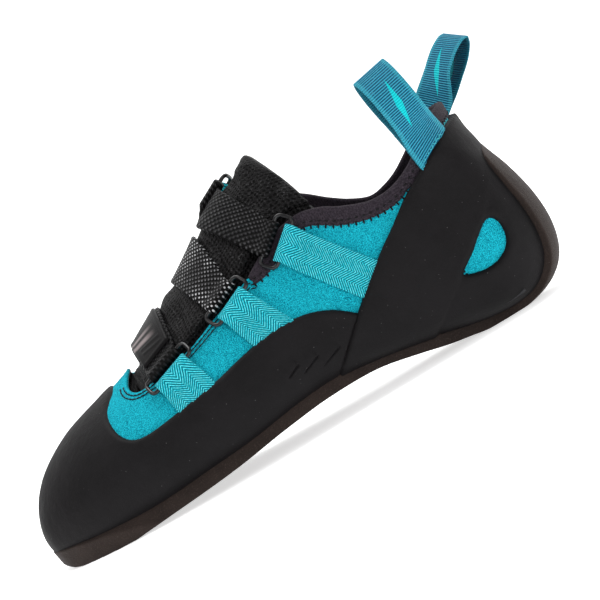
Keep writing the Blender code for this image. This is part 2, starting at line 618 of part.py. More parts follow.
# Tapes, each with the (x, z) of its two lower corners at the rubber that holds it, front one first
TAPE_END_SHORT = 3.0
TAPE_FEET = {
    "toe": {LATERAL: ((77.2, 38.6), (96.2, 41.6)), MEDIAL: ((78.0, 38.8), (97.0, 41.8))},
    "mid": {LATERAL: ((116.6, 46.2), (135.6, 47.6)), MEDIAL: ((115.0, 45.8), (134.0, 47.6))},
    "top": {LATERAL: ((165.2, 39.4), (177.6, 50.2)), MEDIAL: ((165.2, 39.4), (179.6, 51.9))},
}
for place, feet in TAPE_FEET.items():
    for word, side in (("near", LATERAL), ("far", MEDIAL)):
        ring = rings[f"ring_{word}_{place}"]
        foot_spots, bar_spots = spots(feet[side], side), ring.edge(-1, TAPE_END_SHORT)
        rows = np.linspace(0, 1, 5 if word == "near" else 8)[:, None]
        edge_a = foot_spots[0] * (1 - rows) + bar_spots[0] * rows
        edge_b = foot_spots[1] * (1 - rows) + bar_spots[1] * rows
        low = CLEAR + (OVER_BINDING - CLEAR) * rows
        tape = slab(f"webbing_{word}_{place}", edge_a, edge_b, low, low + WEBBING)
        dressed(tape, TEAL_TAPE)
        ring.roll_on(tape, -1, TAPE_END_SHORT)

# Straps, each with the x of its front and rear edge where it crosses the ridge
STRAP_END_SHORT = 3.4
STRAP_LOW = 0.8
STRAP_RIDGE = {"toe": (73.0, 91.5), "mid": (101.5, 119.5), "top": (122.5, 138.0)}


def ridge_spot(x):
    """The (s, v) of the ridge at x."""
    return np.interp(x, FOOT.points[:, FOOT.HALF_GIRTH, 0], FOOT.s), 0.0


strap_edges = {}
for place, ridge in STRAP_RIDGE.items():
    near, far = rings[f"ring_near_{place}"], rings[f"ring_far_{place}"]
    edges = []
    for k in range(2):
        stops = (near.edge(1, STRAP_END_SHORT)[k], ridge_spot(ridge[k]), far.edge(1, STRAP_END_SHORT)[k])
        edges.append(smooth_line(stops, 5))
    strap_edges[place] = edges
    strap = slab(f"{place}_strap", *edges, STRAP_LOW, STRAP_LOW + STRAP)
    dressed(strap, STRAP_CLOTH)
    near.roll_on(strap, 1, STRAP_END_SHORT)
    far.roll_on(strap, 1, STRAP_END_SHORT)

# Grip: a thin rubber patch on the toe strap, from above the near ring to just past the ridge
TAB_ROWS = slice(1, 8)
TAB_INSET = 0.06
TAB_THICK = 1.0
TAB_LOW = STRAP_LOW + STRAP + CLEAR
edge_a, edge_b = (edge[TAB_ROWS] for edge in strap_edges["toe"])
inset = (edge_b - edge_a) * TAB_INSET
dressed(slab("toe_strap_tab", edge_a + inset, edge_b - inset, TAB_LOW, TAB_LOW + TAB_THICK), BLACK_RUBBER)

# Tongue: raised to the upper's face in the throat, and tucked under its edges on both sides
TONGUE_FROM, TONGUE_TO = 5.35, 13.1
TONGUE_ROWS = 15
TONGUE_THICK = 4.8
TUCKED = -3.3
SHOWN = 0.3
THROAT_FRONT = 6.6
WING_SHORT = 0.6
LEAST_RIM = 0.06
ANKLE_X = 200.0
# Each column of the tongue: its side of the foot, its share of the way to the rim, its way past it, and its lift
TONGUE_COLUMNS = (
    (LATERAL, 1.0, 0.085, TUCKED),
    (LATERAL, 0.95, 0.0, TUCKED),
    (LATERAL, 0.86, 0.0, SHOWN),
    (LATERAL, 0.55, 0.0, SHOWN),
    (LATERAL, 0.25, 0.0, SHOWN),
    (0, 0.0, 0.0, SHOWN),
    (MEDIAL, 0.22, 0.0, SHOWN),
    (MEDIAL, 0.48, 0.0, SHOWN),
    (MEDIAL, 0.70, 0.0, SHOWN),
    (MEDIAL, 0.84, 0.0, TUCKED),
    (MEDIAL, 1.0, 0.085, TUCKED),
)


def rim_girth(s, side):
    """The girth v at which the top edge of the shoe crosses the section s."""
    rim = np.vstack([evenly(THROAT_TOP[side], 60), evenly(BINDING_TOP[side], 90)])
    rim_spots = np.array([FOOT.spot(x, z, side) for x, z in rim if x < ANKLE_X])
    order = np.argsort(rim_spots[:, 0])
    return side * np.maximum(np.interp(s, rim_spots[order, 0], np.abs(rim_spots[order, 1])), LEAST_RIM)


share = np.linspace(0, 1, TONGUE_ROWS)
columns = []
for side, across, tuck, lift in TONGUE_COLUMNS:
    s = TONGUE_FROM + (TONGUE_TO - WING_SHORT * across**2 - TONGUE_FROM) * share
    v = side * (np.abs(rim_girth(s, side or LATERAL)) * across + tuck)
    columns.append((s, v, np.where(s > THROAT_FRONT, lift, TUCKED)))
tongue_s, tongue_v, tongue_lift = (np.stack(rows, 1) for rows in zip(*columns))
tongue_under = FOOT.at(tongue_s, tongue_v, tongue_lift - TONGUE_THICK)
tongue_over = FOOT.at(tongue_s, tongue_v, tongue_lift)
dressed(make_object("tongue", *closed_slab(tongue_under, tongue_over)), BLACK_MESH)

# Pull loops: a ribbon folded over and sewn on at the heel. Each row is a height up the loop, with the distance
# of its outer and inner leg from the place where it is sewn on.
LOOP_FOLDS = (
    (0.0, 2.7, 0.0),
    (7.0, 3.1, -0.4),
    (14.0, 6.2, -3.2),
    (22.0, 8.2, -5.4),
    (31.0, 8.2, -5.4),
    (37.6, 5.6, -2.8),
    (40.4, 2.0, 0.6),
)
RIBBON = 1.3
PULL_LOOPS = {
    "pull_loop_near": (LATERAL, (220.6, 77.6), 1.85, (-0.10, -0.10, 1.0), (0.15, -1.0, 0.0), 16.4, 1.0),
    "pull_loop_far": (MEDIAL, (229.6, 85.5), 2.55, (0.85, 0.25, 0.5), (-0.2, 1.0, -0.1), 16.0, 0.8),
}
folds = np.array(LOOP_FOLDS)
path = np.vstack([smooth_line(folds[:, [0, 1]]), smooth_line(folds[:, [0, 2]])[::-1]])
run = np.roll(path, -1, axis=0) - np.roll(path, 1, axis=0)
run /= np.linalg.norm(run, axis=1, keepdims=True)
inset = path + RIBBON * np.stack([run[:, 1], -run[:, 0]], 1)
for name, (side, place, sewn_off, up, out, width, length) in PULL_LOOPS.items():
    base = FOOT.at(*FOOT.spot(*place, side), sewn_off)
    up = np.array(up) / np.linalg.norm(up)
    out = np.array(out) - up * (np.array(out) @ up)
    out /= np.linalg.norm(out)
    side_way = np.cross(up, out)
    edges = []
    for edge in (-width / 2, width / 2):
        for line in (path, inset):
            edges.append(base + side_way * edge + line[:, :1] * length * up + line[:, 1:] * out)
    n = len(path)
    faces = []
    for i in range(n):
        j = (i + 1) % n
        faces += [(i, j, n + j, n + i), (2 * n + i, 3 * n + i, 3 * n + j, 2 * n + j)]
        faces += [(i, 2 * n + i, 2 * n + j, j), (n + i, n + j, 3 * n + j, 3 * n + i)]
    dressed(make_object(name, np.vstack(edges), faces), LOOP_TAPE)
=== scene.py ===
import math

import bmesh
import bpy
import numpy as np
from mathutils import Matrix, Vector


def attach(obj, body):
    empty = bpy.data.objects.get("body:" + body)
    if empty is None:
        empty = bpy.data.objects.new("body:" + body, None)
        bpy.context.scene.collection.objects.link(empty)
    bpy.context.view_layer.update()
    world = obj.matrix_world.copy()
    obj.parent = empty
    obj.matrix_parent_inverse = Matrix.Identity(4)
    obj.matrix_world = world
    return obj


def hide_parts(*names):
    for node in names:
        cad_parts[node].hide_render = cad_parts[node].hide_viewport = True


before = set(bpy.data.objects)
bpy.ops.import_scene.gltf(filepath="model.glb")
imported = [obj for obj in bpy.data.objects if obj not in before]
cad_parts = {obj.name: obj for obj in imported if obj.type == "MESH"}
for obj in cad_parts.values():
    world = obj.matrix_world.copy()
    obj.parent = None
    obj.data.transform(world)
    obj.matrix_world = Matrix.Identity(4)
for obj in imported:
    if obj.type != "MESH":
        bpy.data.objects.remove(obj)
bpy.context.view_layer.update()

# Camera
# The shoe stands on its sole, and the photograph shows it tipped forward onto its toe. So the camera is rolled,
# and looks along the outer side of the foot from a little above the floor, through a long lens.
HEEL_REST_X = 219.0
SENSOR = 36.0
PHOTO_WIDTH = 249.2
PHOTO_CENTRE = (143.0, 0.0, 49.2)
PHOTO_ROLL = math.radians(30.4)
PHOTO_RISE = math.radians(4.0)
CAMERA_AWAY = 1700.0


def to_part(points):
    """Millimetres from the toe tip along the shoe become metres in the part's frame."""
    return (np.asarray(points, float) - (HEEL_REST_X, 0, 0)) * 0.001


forward = Vector((0, math.cos(PHOTO_RISE), -math.sin(PHOTO_RISE)))
level_up = Vector((0, math.sin(PHOTO_RISE), math.cos(PHOTO_RISE)))
level_right = Vector((1, 0, 0))
camera_right = level_right * math.cos(PHOTO_ROLL) - level_up * math.sin(PHOTO_ROLL)
camera_up = level_right * math.sin(PHOTO_ROLL) + level_up * math.cos(PHOTO_ROLL)
camera = bpy.data.objects.new("photo_camera", bpy.data.cameras.new("photo_camera"))
camera.data.sensor_width = SENSOR
camera.data.lens = SENSOR * CAMERA_AWAY / PHOTO_WIDTH
camera.data.clip_end = 20.0
turned = Matrix((camera_right, camera_up, -forward)).transposed().to_4x4()
camera.matrix_world = Matrix.Translation(Vector(to_part(PHOTO_CENTRE)) - forward * CAMERA_AWAY * 0.001) @ turned
bpy.context.scene.collection.objects.link(camera)
bpy.context.scene.camera = camera
bpy.context.scene.view_settings.view_transform = "Standard"

# Studio
# A pale floor that curves up into a back wall, lit by large soft lamps and an even white sky.
FLOOR_HALF_WIDTH = 5.0
FLOOR_FRONT, FLOOR_BACK = -4.0, 2.2
WALL_ROUND = 1.2
WALL_HIGH = 4.0
FLOOR_COLOUR = (0.90, 0.90, 0.90)
FLOOR_GLOW = 0.62
SKY_LIGHT = 0.34
LAMPS_AIM = (-0.07, 0, 0.05)
LAMPS = {
    "lamp_over": ((-0.05, 0.2, 1.5), 1.0, 15.0),
    "lamp_toe_side": ((-1.5, -0.5, 1.1), 0.9, 6.0),
    "lamp_front": ((0.5, -1.7, 0.7), 1.2, 7.0),
    "lamp_back": ((0.9, 0.9, 0.9), 0.9, 8.0),
}


class Wire:
    """A value in a material's node tree. Sums and products of wires add the Math nodes that work them out."""

    def __init__(self, paint, socket):
        self.paint = paint
        self.socket = socket

    def math(self, operation, *others):
        return self.paint.node("ShaderNodeMath", {"operation": operation}, dict(enumerate((self, *others))))

    def __add__(self, other):
        return self.math("ADD", other)

    __radd__ = __add__

    def __sub__(self, other):
        return self.math("SUBTRACT", other)

    def __rsub__(self, other):
        return self.math("MULTIPLY", -1.0) + other

    def __mul__(self, other):
        return self.math("MULTIPLY", other)

    __rmul__ = __mul__

    def __truediv__(self, other):
        return self.math("DIVIDE", other)

    def over(self, low, high):
        """0 below low and 1 above high, with a soft step between them."""
        values = {"Value": self, "From Min": low, "From Max": high}
        return self.paint.node("ShaderNodeMapRange", {"interpolation_type": "SMOOTHSTEP"}, values)

    def wave(self, period):
        """A sine of this value, from -1 to 1, that repeats after period."""
        return (self * (2 * math.pi / period)).math("SINE")


class Paint:
    """A material being made. Constant numbers go on the shader's own sockets by name."""

    def __init__(self, name, **constants):
        self.material = bpy.data.materials.new(name)
        self.material.use_nodes = True
        self.tree = self.material.node_tree
        self.shader = self.tree.nodes["Principled BSDF"]
        for key, value in constants.items():
            self.shader.inputs[key.replace("_", " ")].default_value = value

    def node(self, kind, settings=None, values=None, output=0):
        """Adds a node: its settings first, then the values or wires of its sockets, by name or number."""
        made = self.tree.nodes.new(kind)
        for key, value in (settings or {}).items():
            setattr(made, key, value)
        for key, value in (values or {}).items():
            if isinstance(value, Wire):
                self.tree.links.new(value.socket, made.inputs[key])
            else:
                made.inputs[key].default_value = value
        return Wire(self, made.outputs[output])

    def millimetres(self):
        """The place on the part in millimetres."""
        values = {0: self.node("ShaderNodeTexCoord", output="Object"), 1: [1000.0] * 3}
        return self.node("ShaderNodeVectorMath", {"operation": "MULTIPLY"}, values)

    def lengthwise_and_across(self):
        """The piece's own map in millimetres: along its length, and across its width."""
        place = self.node("ShaderNodeTexCoord", output="UV")
        along = self.node("ShaderNodeSeparateXYZ", values={0: place})
        return along, Wire(self, along.socket.node.outputs[1])

    def noise(self, scale, detail=2.0, roughness=0.5):
        """Soft noise of scale blotches to the millimetre."""
        values = {"Vector": self.millimetres(), "Scale": scale, "Detail": detail, "Roughness": roughness}
        return self.node("ShaderNodeTexNoise", values=values)

    def cells(self, scale):
        """The distance to the nearest of scale scattered points to the millimetre."""
        return self.node("ShaderNodeTexVoronoi", values={"Vector": self.millimetres(), "Scale": scale})

    def mix(self, factor, first, second):
        """A colour between two colours."""
        made = self.tree.nodes.new("ShaderNodeMix")
        made.data_type = "RGBA"
        for socket, value in ((made.inputs[0], factor), (made.inputs[6], first), (made.inputs[7], second)):
            if isinstance(value, Wire):
                self.tree.links.new(value.socket, socket)
            else:
                socket.default_value = value if isinstance(value, float) else (*value, 1)
        return Wire(self, made.outputs[2])

    def use(self, socket, wire):
        self.tree.links.new(wire.socket, self.shader.inputs[socket])

    def relief(self, *layers):
        """Bumps laid one over another, each a wire in millimetres of height."""
        below = None
        for height in layers:
            values = {"Height": height, "Distance": 0.001, "Strength": 1.0}
            if below is not None:
                values["Normal"] = below
            below = self.node("ShaderNodeBump", values=values)
        self.use("Normal", below)


def add_mesh(name, points, faces, finishes, face_finish=None, uv=None, sharp=50.0):
    """A mesh from points in metres and quads, with its doubles merged, its faces outwards and smooth shading."""
    mesh = bpy.data.meshes.new(name)
    faces = np.asarray(faces)
    mesh.vertices.add(len(points))
    mesh.vertices.foreach_set("co", np.ravel(points))
    mesh.loops.add(faces.size)
    mesh.loops.foreach_set("vertex_index", np.ravel(faces))
    mesh.polygons.add(len(faces))
    mesh.polygons.foreach_set("loop_start", np.arange(len(faces)) * faces.shape[1])
    for finish in finishes:
        mesh.materials.append(finish)
    if face_finish is not None:
        mesh.polygons.foreach_set("material_index", np.asarray(face_finish, dtype=np.int32))
    mesh.update(calc_edges=True)
    if uv is not None:
        layer = mesh.uv_layers.new(name="millimetres")
        layer.data.foreach_set("uv", np.ravel(np.asarray(uv, float)[np.ravel(faces)]))
    work = bmesh.new()
    work.from_mesh(mesh)
    bmesh.ops.remove_doubles(work, verts=work.verts, dist=2e-6)
    bmesh.ops.dissolve_degenerate(work, edges=work.edges, dist=1e-6)
    bmesh.ops.recalc_face_normals(work, faces=work.faces)
    work.to_mesh(mesh)
    work.free()
    mesh.polygons.foreach_set("use_smooth", np.ones(len(mesh.polygons), dtype=bool))
    mesh.set_sharp_from_angle(angle=math.radians(sharp))
    made = bpy.data.objects.new(name, mesh)
    bpy.context.scene.collection.objects.link(made)
    return made


def sheet_faces(rows, columns):
    """The quads of a grid of points."""
    k = np.arange(rows * columns).reshape(rows, columns)
    return np.stack([k[:-1, :-1], k[:-1, 1:], k[1:, 1:], k[1:, :-1]], -1).reshape(-1, 4)


def floor_profile(t):
    """y and z along the backdrop: a straight floor, a quarter round, then a straight wall."""
    y = np.where(t < 1, FLOOR_FRONT + (FLOOR_BACK - FLOOR_FRONT) * t, FLOOR_BACK)
    turn = np.clip(t - 1, 0, 1) * math.pi / 2
    return y + WALL_ROUND * np.sin(turn), WALL_ROUND * (1 - np.cos(turn)) + WALL_HIGH * np.clip(t - 2, 0, 1)


t = np.linspace(0, 3, 61)
across = np.linspace(-FLOOR_HALF_WIDTH, FLOOR_HALF_WIDTH, 5)
floor_y, floor_z = floor_profile(t)
points = np.stack(np.broadcast_arrays(across, floor_y[:, None], floor_z[:, None]), -1)
floor_paint = Paint("pale_floor", Base_Color=(*FLOOR_COLOUR, 1), Roughness=0.85, Emission_Color=(1, 1, 1, 1),
                    Emission_Strength=FLOOR_GLOW)
floor = add_mesh("floor", points.reshape(-1, 3), sheet_faces(61, 5), [floor_paint.material])

sky = bpy.data.worlds.new("white_sky")
sky.use_nodes = True
sky.node_tree.nodes["Background"].inputs["Color"].default_value = (1, 1, 1, 1)
sky.node_tree.nodes["Background"].inputs["Strength"].default_value = SKY_LIGHT
bpy.context.scene.world = sky
for name, (place, size, watts) in LAMPS.items():
    lamp = bpy.data.objects.new(name, bpy.data.lights.new(name, "AREA"))
    lamp.data.shape = "DISK"
    lamp.data.size = size
    lamp.data.energy = watts
    lamp.location = place
    lamp.rotation_euler = (Vector(LAMPS_AIM) - Vector(place)).to_track_quat("-Z", "Y").to_euler()
    bpy.context.scene.collection.objects.link(lamp)

# Upper
# The real piece is 1.8 mm turquoise microfibre, lasted over a last and glued to the sole. Its throat is a raw cut
# edge with two rows of black stitches. Its shape is one face over section s and girth v, read from a short table.
# sole and ridge are the points under and on top of the foot, half is the half width and low the share below it.
UPPER_WALL = 1.8
OUTER, INNER = -1, 1
COLUMNS = ("sole_x", "sole_z", "ridge_x", "ridge_z", "middle", "half", "low", "square", "peak", "lean", "sole_t")
SECTIONS = (
    (2.4, 15.0, 2.4, 15.0, 12.8, 0.0, 0.45, 2.2, 2.0, 0.0, 4.6),
    (4.2, 7.4, 4.4, 23.4, 12.5, 10.6, 0.45, 2.4, 2.0, 0.3, 4.6),
    (8.5, 5.4, 9.2, 31.8, 11.5, 16.6, 0.42, 2.8, 2.0, 1.0, 4.6),
    (17.0, 4.7, 17.2, 39.6, 9.5, 23.5, 0.40, 3.2, 2.0, 2.0, 5.3),
    (31.0, 4.7, 30.0, 47.2, 6.5, 31.0, 0.38, 3.6, 2.0, 3.5, 5.3),
    (50.0, 6.3, 47.0, 54.0, 3.8, 37.2, 0.37, 3.8, 2.0, 5.0, 4.6),
    (70.0, 8.2, 64.0, 59.2, 1.5, 40.3, 0.36, 3.8, 1.9, 6.5, 4.5),
    (91.0, 10.3, 82.0, 69.0, -1.2, 40.3, 0.34, 3.6, 1.75, 8.0, 4.4),
    (113.0, 13.3, 100.0, 79.3, -3.2, 37.4, 0.31, 3.4, 1.70, 8.5, 4.3),
    (135.0, 15.2, 115.0, 89.3, -3.4, 33.6, 0.30, 3.2, 1.70, 7.5, 4.2),
    (157.0, 14.7, 128.0, 98.8, -2.4, 31.0, 0.30, 3.1, 1.75, 5.5, 4.2),
    (178.0, 11.1, 139.0, 104.6, -1.2, 30.0, 0.30, 3.0, 1.85, 4.0, 4.2),
    (198.0, 7.0, 147.5, 108.6, -0.4, 30.0, 0.29, 2.9, 2.0, 3.0, 4.4),
    (216.0, 4.6, 154.0, 112.2, 0.0, 30.0, 0.27, 2.8, 2.0, 2.0, 5.5),
    (231.0, 6.6, 158.0, 115.0, 0.0, 29.8, 0.27, 2.5, 2.0, 1.5, 4.9),
    (240.6, 14.5, 160.0, 117.0, 0.0, 29.4, 0.28, 2.3, 2.0, 1.0, 5.0),
    (244.7, 26.5, 162.0, 119.0, 0.0, 28.9, 0.29, 2.1, 2.0, 0.5, 5.0),
    (244.3, 40.0, 164.0, 121.0, 0.0, 28.3, 0.30, 2.0, 2.0, 0.0, 4.9),
    (241.0, 54.0, 166.0, 123.0, 0.0, 27.7, 0.31, 2.0, 2.0, 0.0, 4.3),
    (236.6, 67.0, 168.0, 125.0, 0.0, 27.0, 0.32, 2.0, 2.0, 0.0, 2.4),
    (234.6, 80.0, 170.0, 127.0, 0.0, 26.4, 0.33, 2.0, 2.0, 0.0, 2.4),
    (234.8, 94.0, 172.0, 130.0, 0.0, 26.0, 0.34, 2.0, 2.0, 0.0, 2.4),
)
LAST_SECTION = len(SECTIONS) - 1
THROAT_TOP = {
    OUTER: ((66.8, 60.6), (64.6, 58.2), (63.2, 54.8), (65.4, 52.2), (70.6, 52.0), (81.4, 54.0), (93.7, 56.9),
            (109.0, 62.5), (123.9, 67.8), (129.0, 69.6)),
    INNER: ((66.8, 60.6), (66.2, 59.2), (66.8, 57.4), (70.5, 56.8), (80, 59.5), (100, 66.5), (118, 75.0),
            (129.0, 80.8)),
}
BINDING_FOOT = {
    OUTER: ((130.4, 66.2), (137, 67.3), (147, 71.6), (157.6, 75.8), (164.3, 74.2), (172.2, 69.6), (182.6, 66.0),
            (193, 65.1), (200, 66.4), (206.5, 69.8), (214, 74.2), (225, 79.8), (234.9, 84.0)),
    INNER: ((130.4, 77.4), (140, 82.6), (149, 86.4), (157, 86.4), (165.5, 80.8), (174, 73.2), (182.6, 67.2),
            (191, 64.4), (199, 65.8), (206.5, 69.8), (214, 74.2), (225, 79.8), (234.9, 84.0)),
}
BINDING_TOP = {
    OUTER: ((129.4, 70.3), (140, 76.4), (149, 80.4), (155.6, 81.8), (161.7, 82.0), (169.5, 79.8), (175.6, 76.5),
            (184.4, 72.9), (190.5, 71.7), (197.4, 72.1), (204.4, 74.4), (211.4, 78.3), (220, 84.4), (228.5, 89.6),
            (234.7, 91.2)),
    INNER: ((129.4, 81.7), (140, 88.2), (149, 91.8), (158, 91.2), (167, 85.8), (175, 79.2), (182.6, 74.0),
            (190.5, 70.6), (197.4, 71.4), (204.4, 74.0), (211.4, 78.3), (220, 84.4), (228.5, 89.6), (234.7, 91.2)),
}


def between(a, b, c, d, f):
    """The curve from b to c at the shares f: its slopes there come from the neighbours a and d (Catmull-Rom)."""
    return 0.5 * (2 * b + (c - a) * f + (2 * a - 5 * b + 4 * c - d) * f**2 + (3 * b - a - 3 * c + d) * f**3)


def smooth_line(points, per_span=12):
    """A curve through the points, with per_span steps from each to the next."""
    p = np.array(points, float)
    p = np.vstack([2 * p[0] - p[1], p, 2 * p[-1] - p[-2]])
    f = (np.arange(per_span) / per_span)[None, :, None]
    curve = between(*(k[:, None, :] for k in (p[:-3], p[1:-2], p[2:-1], p[3:])), f)
    return np.vstack([curve.reshape(-1, p.shape[1]), p[-2]])


def run_length(points):
    """The way along a line of points, from its first point to each."""
    return np.append(0, np.cumsum(np.linalg.norm(np.diff(points, axis=0), axis=1)))


def read_line(wanted, at, line):
    """A line whose points are known at some values, read at others by straight interpolation."""
    return np.stack([np.interp(wanted, at, column) for column in line.T], 1)


def evenly(line, count):
    """The smooth curve through a line's points, as count points an equal length apart."""
    curve = smooth_line(line)
    length = run_length(curve)
    return read_line(np.linspace(0, length[-1], count), length, curve)


def side_of(line, x, z):
    """How far each place, seen from the side, is from a line: positive on the left of the line's way."""
    flat = np.stack([np.ravel(x), np.ravel(z)], 1)
    start, step = line[:-1], np.diff(line, axis=0)
    found = np.empty(len(flat))
    for part in range(0, len(flat), 20000):
        away = flat[part : part + 20000, None] - start
        share = np.clip((away * step).sum(2) / (step**2).sum(1), 0, 1)
        away -= share[..., None] * step
        reach = np.hypot(away[..., 0], away[..., 1])
        nearest = reach.argmin(1)
        rows = np.arange(len(nearest))
        cross = step[nearest, 0] * away[rows, nearest, 1] - step[nearest, 1] * away[rows, nearest, 0]
        found[part : part + 20000] = np.where(cross >= 0, 1, -1) * reach[rows, nearest]
    return found.reshape(np.shape(x))


def outside_of(ring, x, z):
    """How far each place is outside a closed outline, negative inside: crossings to its right are counted."""
    flat = np.stack([np.ravel(x), np.ravel(z)], 1)
    start, end = ring[:-1], ring[1:]
    spans = (start[:, 1] > flat[:, None, 1]) != (end[:, 1] > flat[:, None, 1])
    rise = np.where(np.abs(end[:, 1] - start[:, 1]) < 1e-9, 1e-9, end[:, 1] - start[:, 1])
    crossing = start[:, 0] + (flat[:, None, 1] - start[:, 1]) * (end[:, 0] - start[:, 0]) / rise
    within = (spans & (crossing > flat[:, None, 0])).sum(1) % 2 == 1
    away = np.abs(side_of(ring, flat[:, 0], flat[:, 1]))
    return np.where(within, -away, away).reshape(np.shape(x))


class Foot:
    """The upper's outer face as points and outward normals over section s and girth v.

    Each section is a superellipse in the plane through the sole's point and the ridge's, with its widest place a
    share of the way up and its top leaning inwards. v is 0 on the ridge, 1 in size under the foot, and negative on
    the outer side. Between the table's rows the sections follow a smooth curve.
    """

    PER_SECTION = 24
    HALF_GIRTH = 160

    def __init__(self):
        rows = np.array(SECTIONS, float)
        before = rows[1].copy()
        before[[0, 1, 2, 3]] = rows[1][[2, 3, 0, 1]]
        before[5] = -rows[1][5]
        rows = np.vstack([before, rows, 2 * rows[-1] - rows[-2]])
        self.s = np.arange(LAST_SECTION * self.PER_SECTION + 1) / self.PER_SECTION
        i = np.minimum(self.s.astype(int), LAST_SECTION - 1)
        f = (self.s - i)[:, None]
        column = dict(zip(COLUMNS, between(*(rows[i + k] for k in range(4)), f).T))
        self.sole_t = column["sole_t"]
        sole = np.stack([column["sole_x"], column["sole_z"]], 1)
        rise = np.stack([column["ridge_x"], column["ridge_z"]], 1) - sole
        height = np.maximum(np.linalg.norm(rise, axis=1), 1e-6)
        rise = rise / height[:, None]
        rise[0] = rise[1]
        self.down = -np.stack([rise[:, 0], 0 * height, rise[:, 1]], 1)
        self.v = np.linspace(-1, 1, 2 * self.HALF_GIRTH + 1)
        angle = np.linspace(math.pi / 2, -math.pi / 2, 4 * self.HALF_GIRTH + 1)
        cosine, sine = np.cos(angle).clip(0), np.sin(angle)
        self.points = np.zeros((len(self.s), len(self.v), 3))
        for k in range(len(self.s)):
            power = np.where(sine >= 0, column["peak"][k], column["square"][k])
            reach = np.where(sine >= 0, 1 - column["low"][k], column["low"][k]) * height[k]
            share = np.sign(sine) * np.abs(sine) ** (2 / power)
            out = column["half"][k] * cosine ** (2 / power)
            lean = column["lean"][k] * np.clip(share, 0, 1) ** 1.6
            for side in (OUTER, INNER):
                y, up = side * out + lean, reach * share
                girth = np.append(0, np.cumsum(np.hypot(np.diff(y), np.diff(up))))
                girth /= max(girth[-1], 1e-9)
                mine = self.v * side >= 0
                at_v = np.abs(self.v[mine])
                up = np.interp(at_v, girth, up) + column["low"][k] * height[k]
                self.points[k, mine, 0] = sole[k, 0] + rise[k, 0] * up
                self.points[k, mine, 1] = column["middle"][k] + np.interp(at_v, girth, y)
                self.points[k, mine, 2] = sole[k, 1] + rise[k, 1] * up
        for _ in range(36):
            middle = 0.25 * (self.points[:-2] + self.points[2:]) + 0.5 * self.points[1:-1]
            self.points[1:-1] = middle
        self.normals = self.facing(self.points)

    def facing(self, points):
        """Unit normals of a table of points that closes on itself under the foot."""
        along = np.gradient(points, axis=0)
        wrapped = np.concatenate([points[:, -2:-1], points, points[:, 1:2]], axis=1)
        normals = np.cross(along, wrapped[:, 2:] - wrapped[:, :-2])
        normals /= np.maximum(np.linalg.norm(normals, axis=2, keepdims=True), 1e-9)
        normals[0] = (-1, 0, 0)
        return normals

    def read(self, table, s, v):
        """A table's values at any s and v, by straight interpolation between its rows and columns."""
        r = np.clip(np.asarray(s, float) * self.PER_SECTION, 0, len(self.s) - 1)
        q = np.clip((np.asarray(v, float) + 1) * self.HALF_GIRTH, 0, len(self.v) - 1)
        i = np.minimum(r.astype(int), len(self.s) - 2)
        j = np.minimum(q.astype(int), len(self.v) - 2)
        f, g = (r - i)[..., None], (q - j)[..., None]
        low = table[i, j] * (1 - g) + table[i, j + 1] * g
        high = table[i + 1, j] * (1 - g) + table[i + 1, j + 1] * g
        return low * (1 - f) + high * f

    def at(self, s, v, lift=0.0):
        """Points lifted off the upper's outer face by lift."""
        normal = self.read(self.normals, s, v)
        normal /= np.linalg.norm(normal, axis=-1, keepdims=True)
        return self.read(self.points, s, v) + normal * np.asarray(lift)[..., None]

    def spots(self, line, side):
        """The (s, v) of places that are given as (x, z) seen from one side: the nearest point of the table, then
        one step along its slopes."""
        mine = np.where(self.v * side >= -1e-9)[0]
        half = self.points[:, mine][..., [0, 2]]
        found = []
        for x, z in np.asarray(line, float):
            away = (half[..., 0] - x) ** 2 + (half[..., 1] - z) ** 2
            i, j = np.unravel_index(away.argmin(), away.shape)
            r, q = np.clip(i, 1, len(self.s) - 2), np.clip(j, 1, len(mine) - 2)
            slope = np.stack([(half[r + 1, q] - half[r - 1, q]) / 2, (half[r, q + 1] - half[r, q - 1]) / 2], 1)
            miss = np.array((x, z)) - half[i, j]
            if abs(np.linalg.det(slope)) > 0.02:
                i, j = np.array((i, j)) + np.clip(np.linalg.solve(slope, miss), -1, 1)
            found.append((i / self.PER_SECTION, self.v[mine[0]] + j / self.HALF_GIRTH))
        return np.array(found)


FOOT = Foot()


def shell_faces(kept, wrap=False):
    """Quads of a closed shell between two grids of points: both faces, and a wall round the kept cells."""
    rows, columns = kept.shape[0] + 1, kept.shape[1] + 1
    n = rows * columns
    k = np.arange(n).reshape(rows, columns)
    a, b, c, d = k[:-1, :-1], k[:-1, 1:], k[1:, 1:], k[1:, :-1]
    outer = np.stack([a, b, c, d], -1)[kept]
    padded = np.pad(kept, 1)
    if wrap:
        padded[:, 0], padded[:, -1] = padded[:, -2], padded[:, 1]
    walls = []
    above, below, before, after = padded[:-2, 1:-1], padded[2:, 1:-1], padded[1:-1, :-2], padded[1:-1, 2:]
    for neighbour, p, q in ((above, b, a), (below, d, c), (before, a, d), (after, c, b)):
        edge = kept & ~neighbour
        walls.append(np.stack([p[edge], q[edge], q[edge] + n, p[edge] + n], 1))
    return outer, outer[:, ::-1] + n, np.vstack(walls)


def add_shell(name, over, under, finishes, kept=None, wrap=False, uv=None, sharp=50.0):
    """A closed piece between two grids of points. With two finishes, the second is for its inner face."""
    if kept is None:
        kept = np.ones((over.shape[0] - 1, over.shape[1] - 1), bool)
    outer, inner, walls = shell_faces(kept, wrap)
    points = to_part(np.vstack([over.reshape(-1, 3), under.reshape(-1, 3)]))
    part = np.concatenate([np.zeros(len(outer)), np.ones(len(inner)), np.zeros(len(walls))])
    uv = None if uv is None else np.vstack([uv.reshape(-1, 2)] * 2)
    face_finish = part if len(finishes) > 1 else None
    return add_mesh(name, points, np.vstack([outer, inner, walls]), finishes, face_finish, uv, sharp)


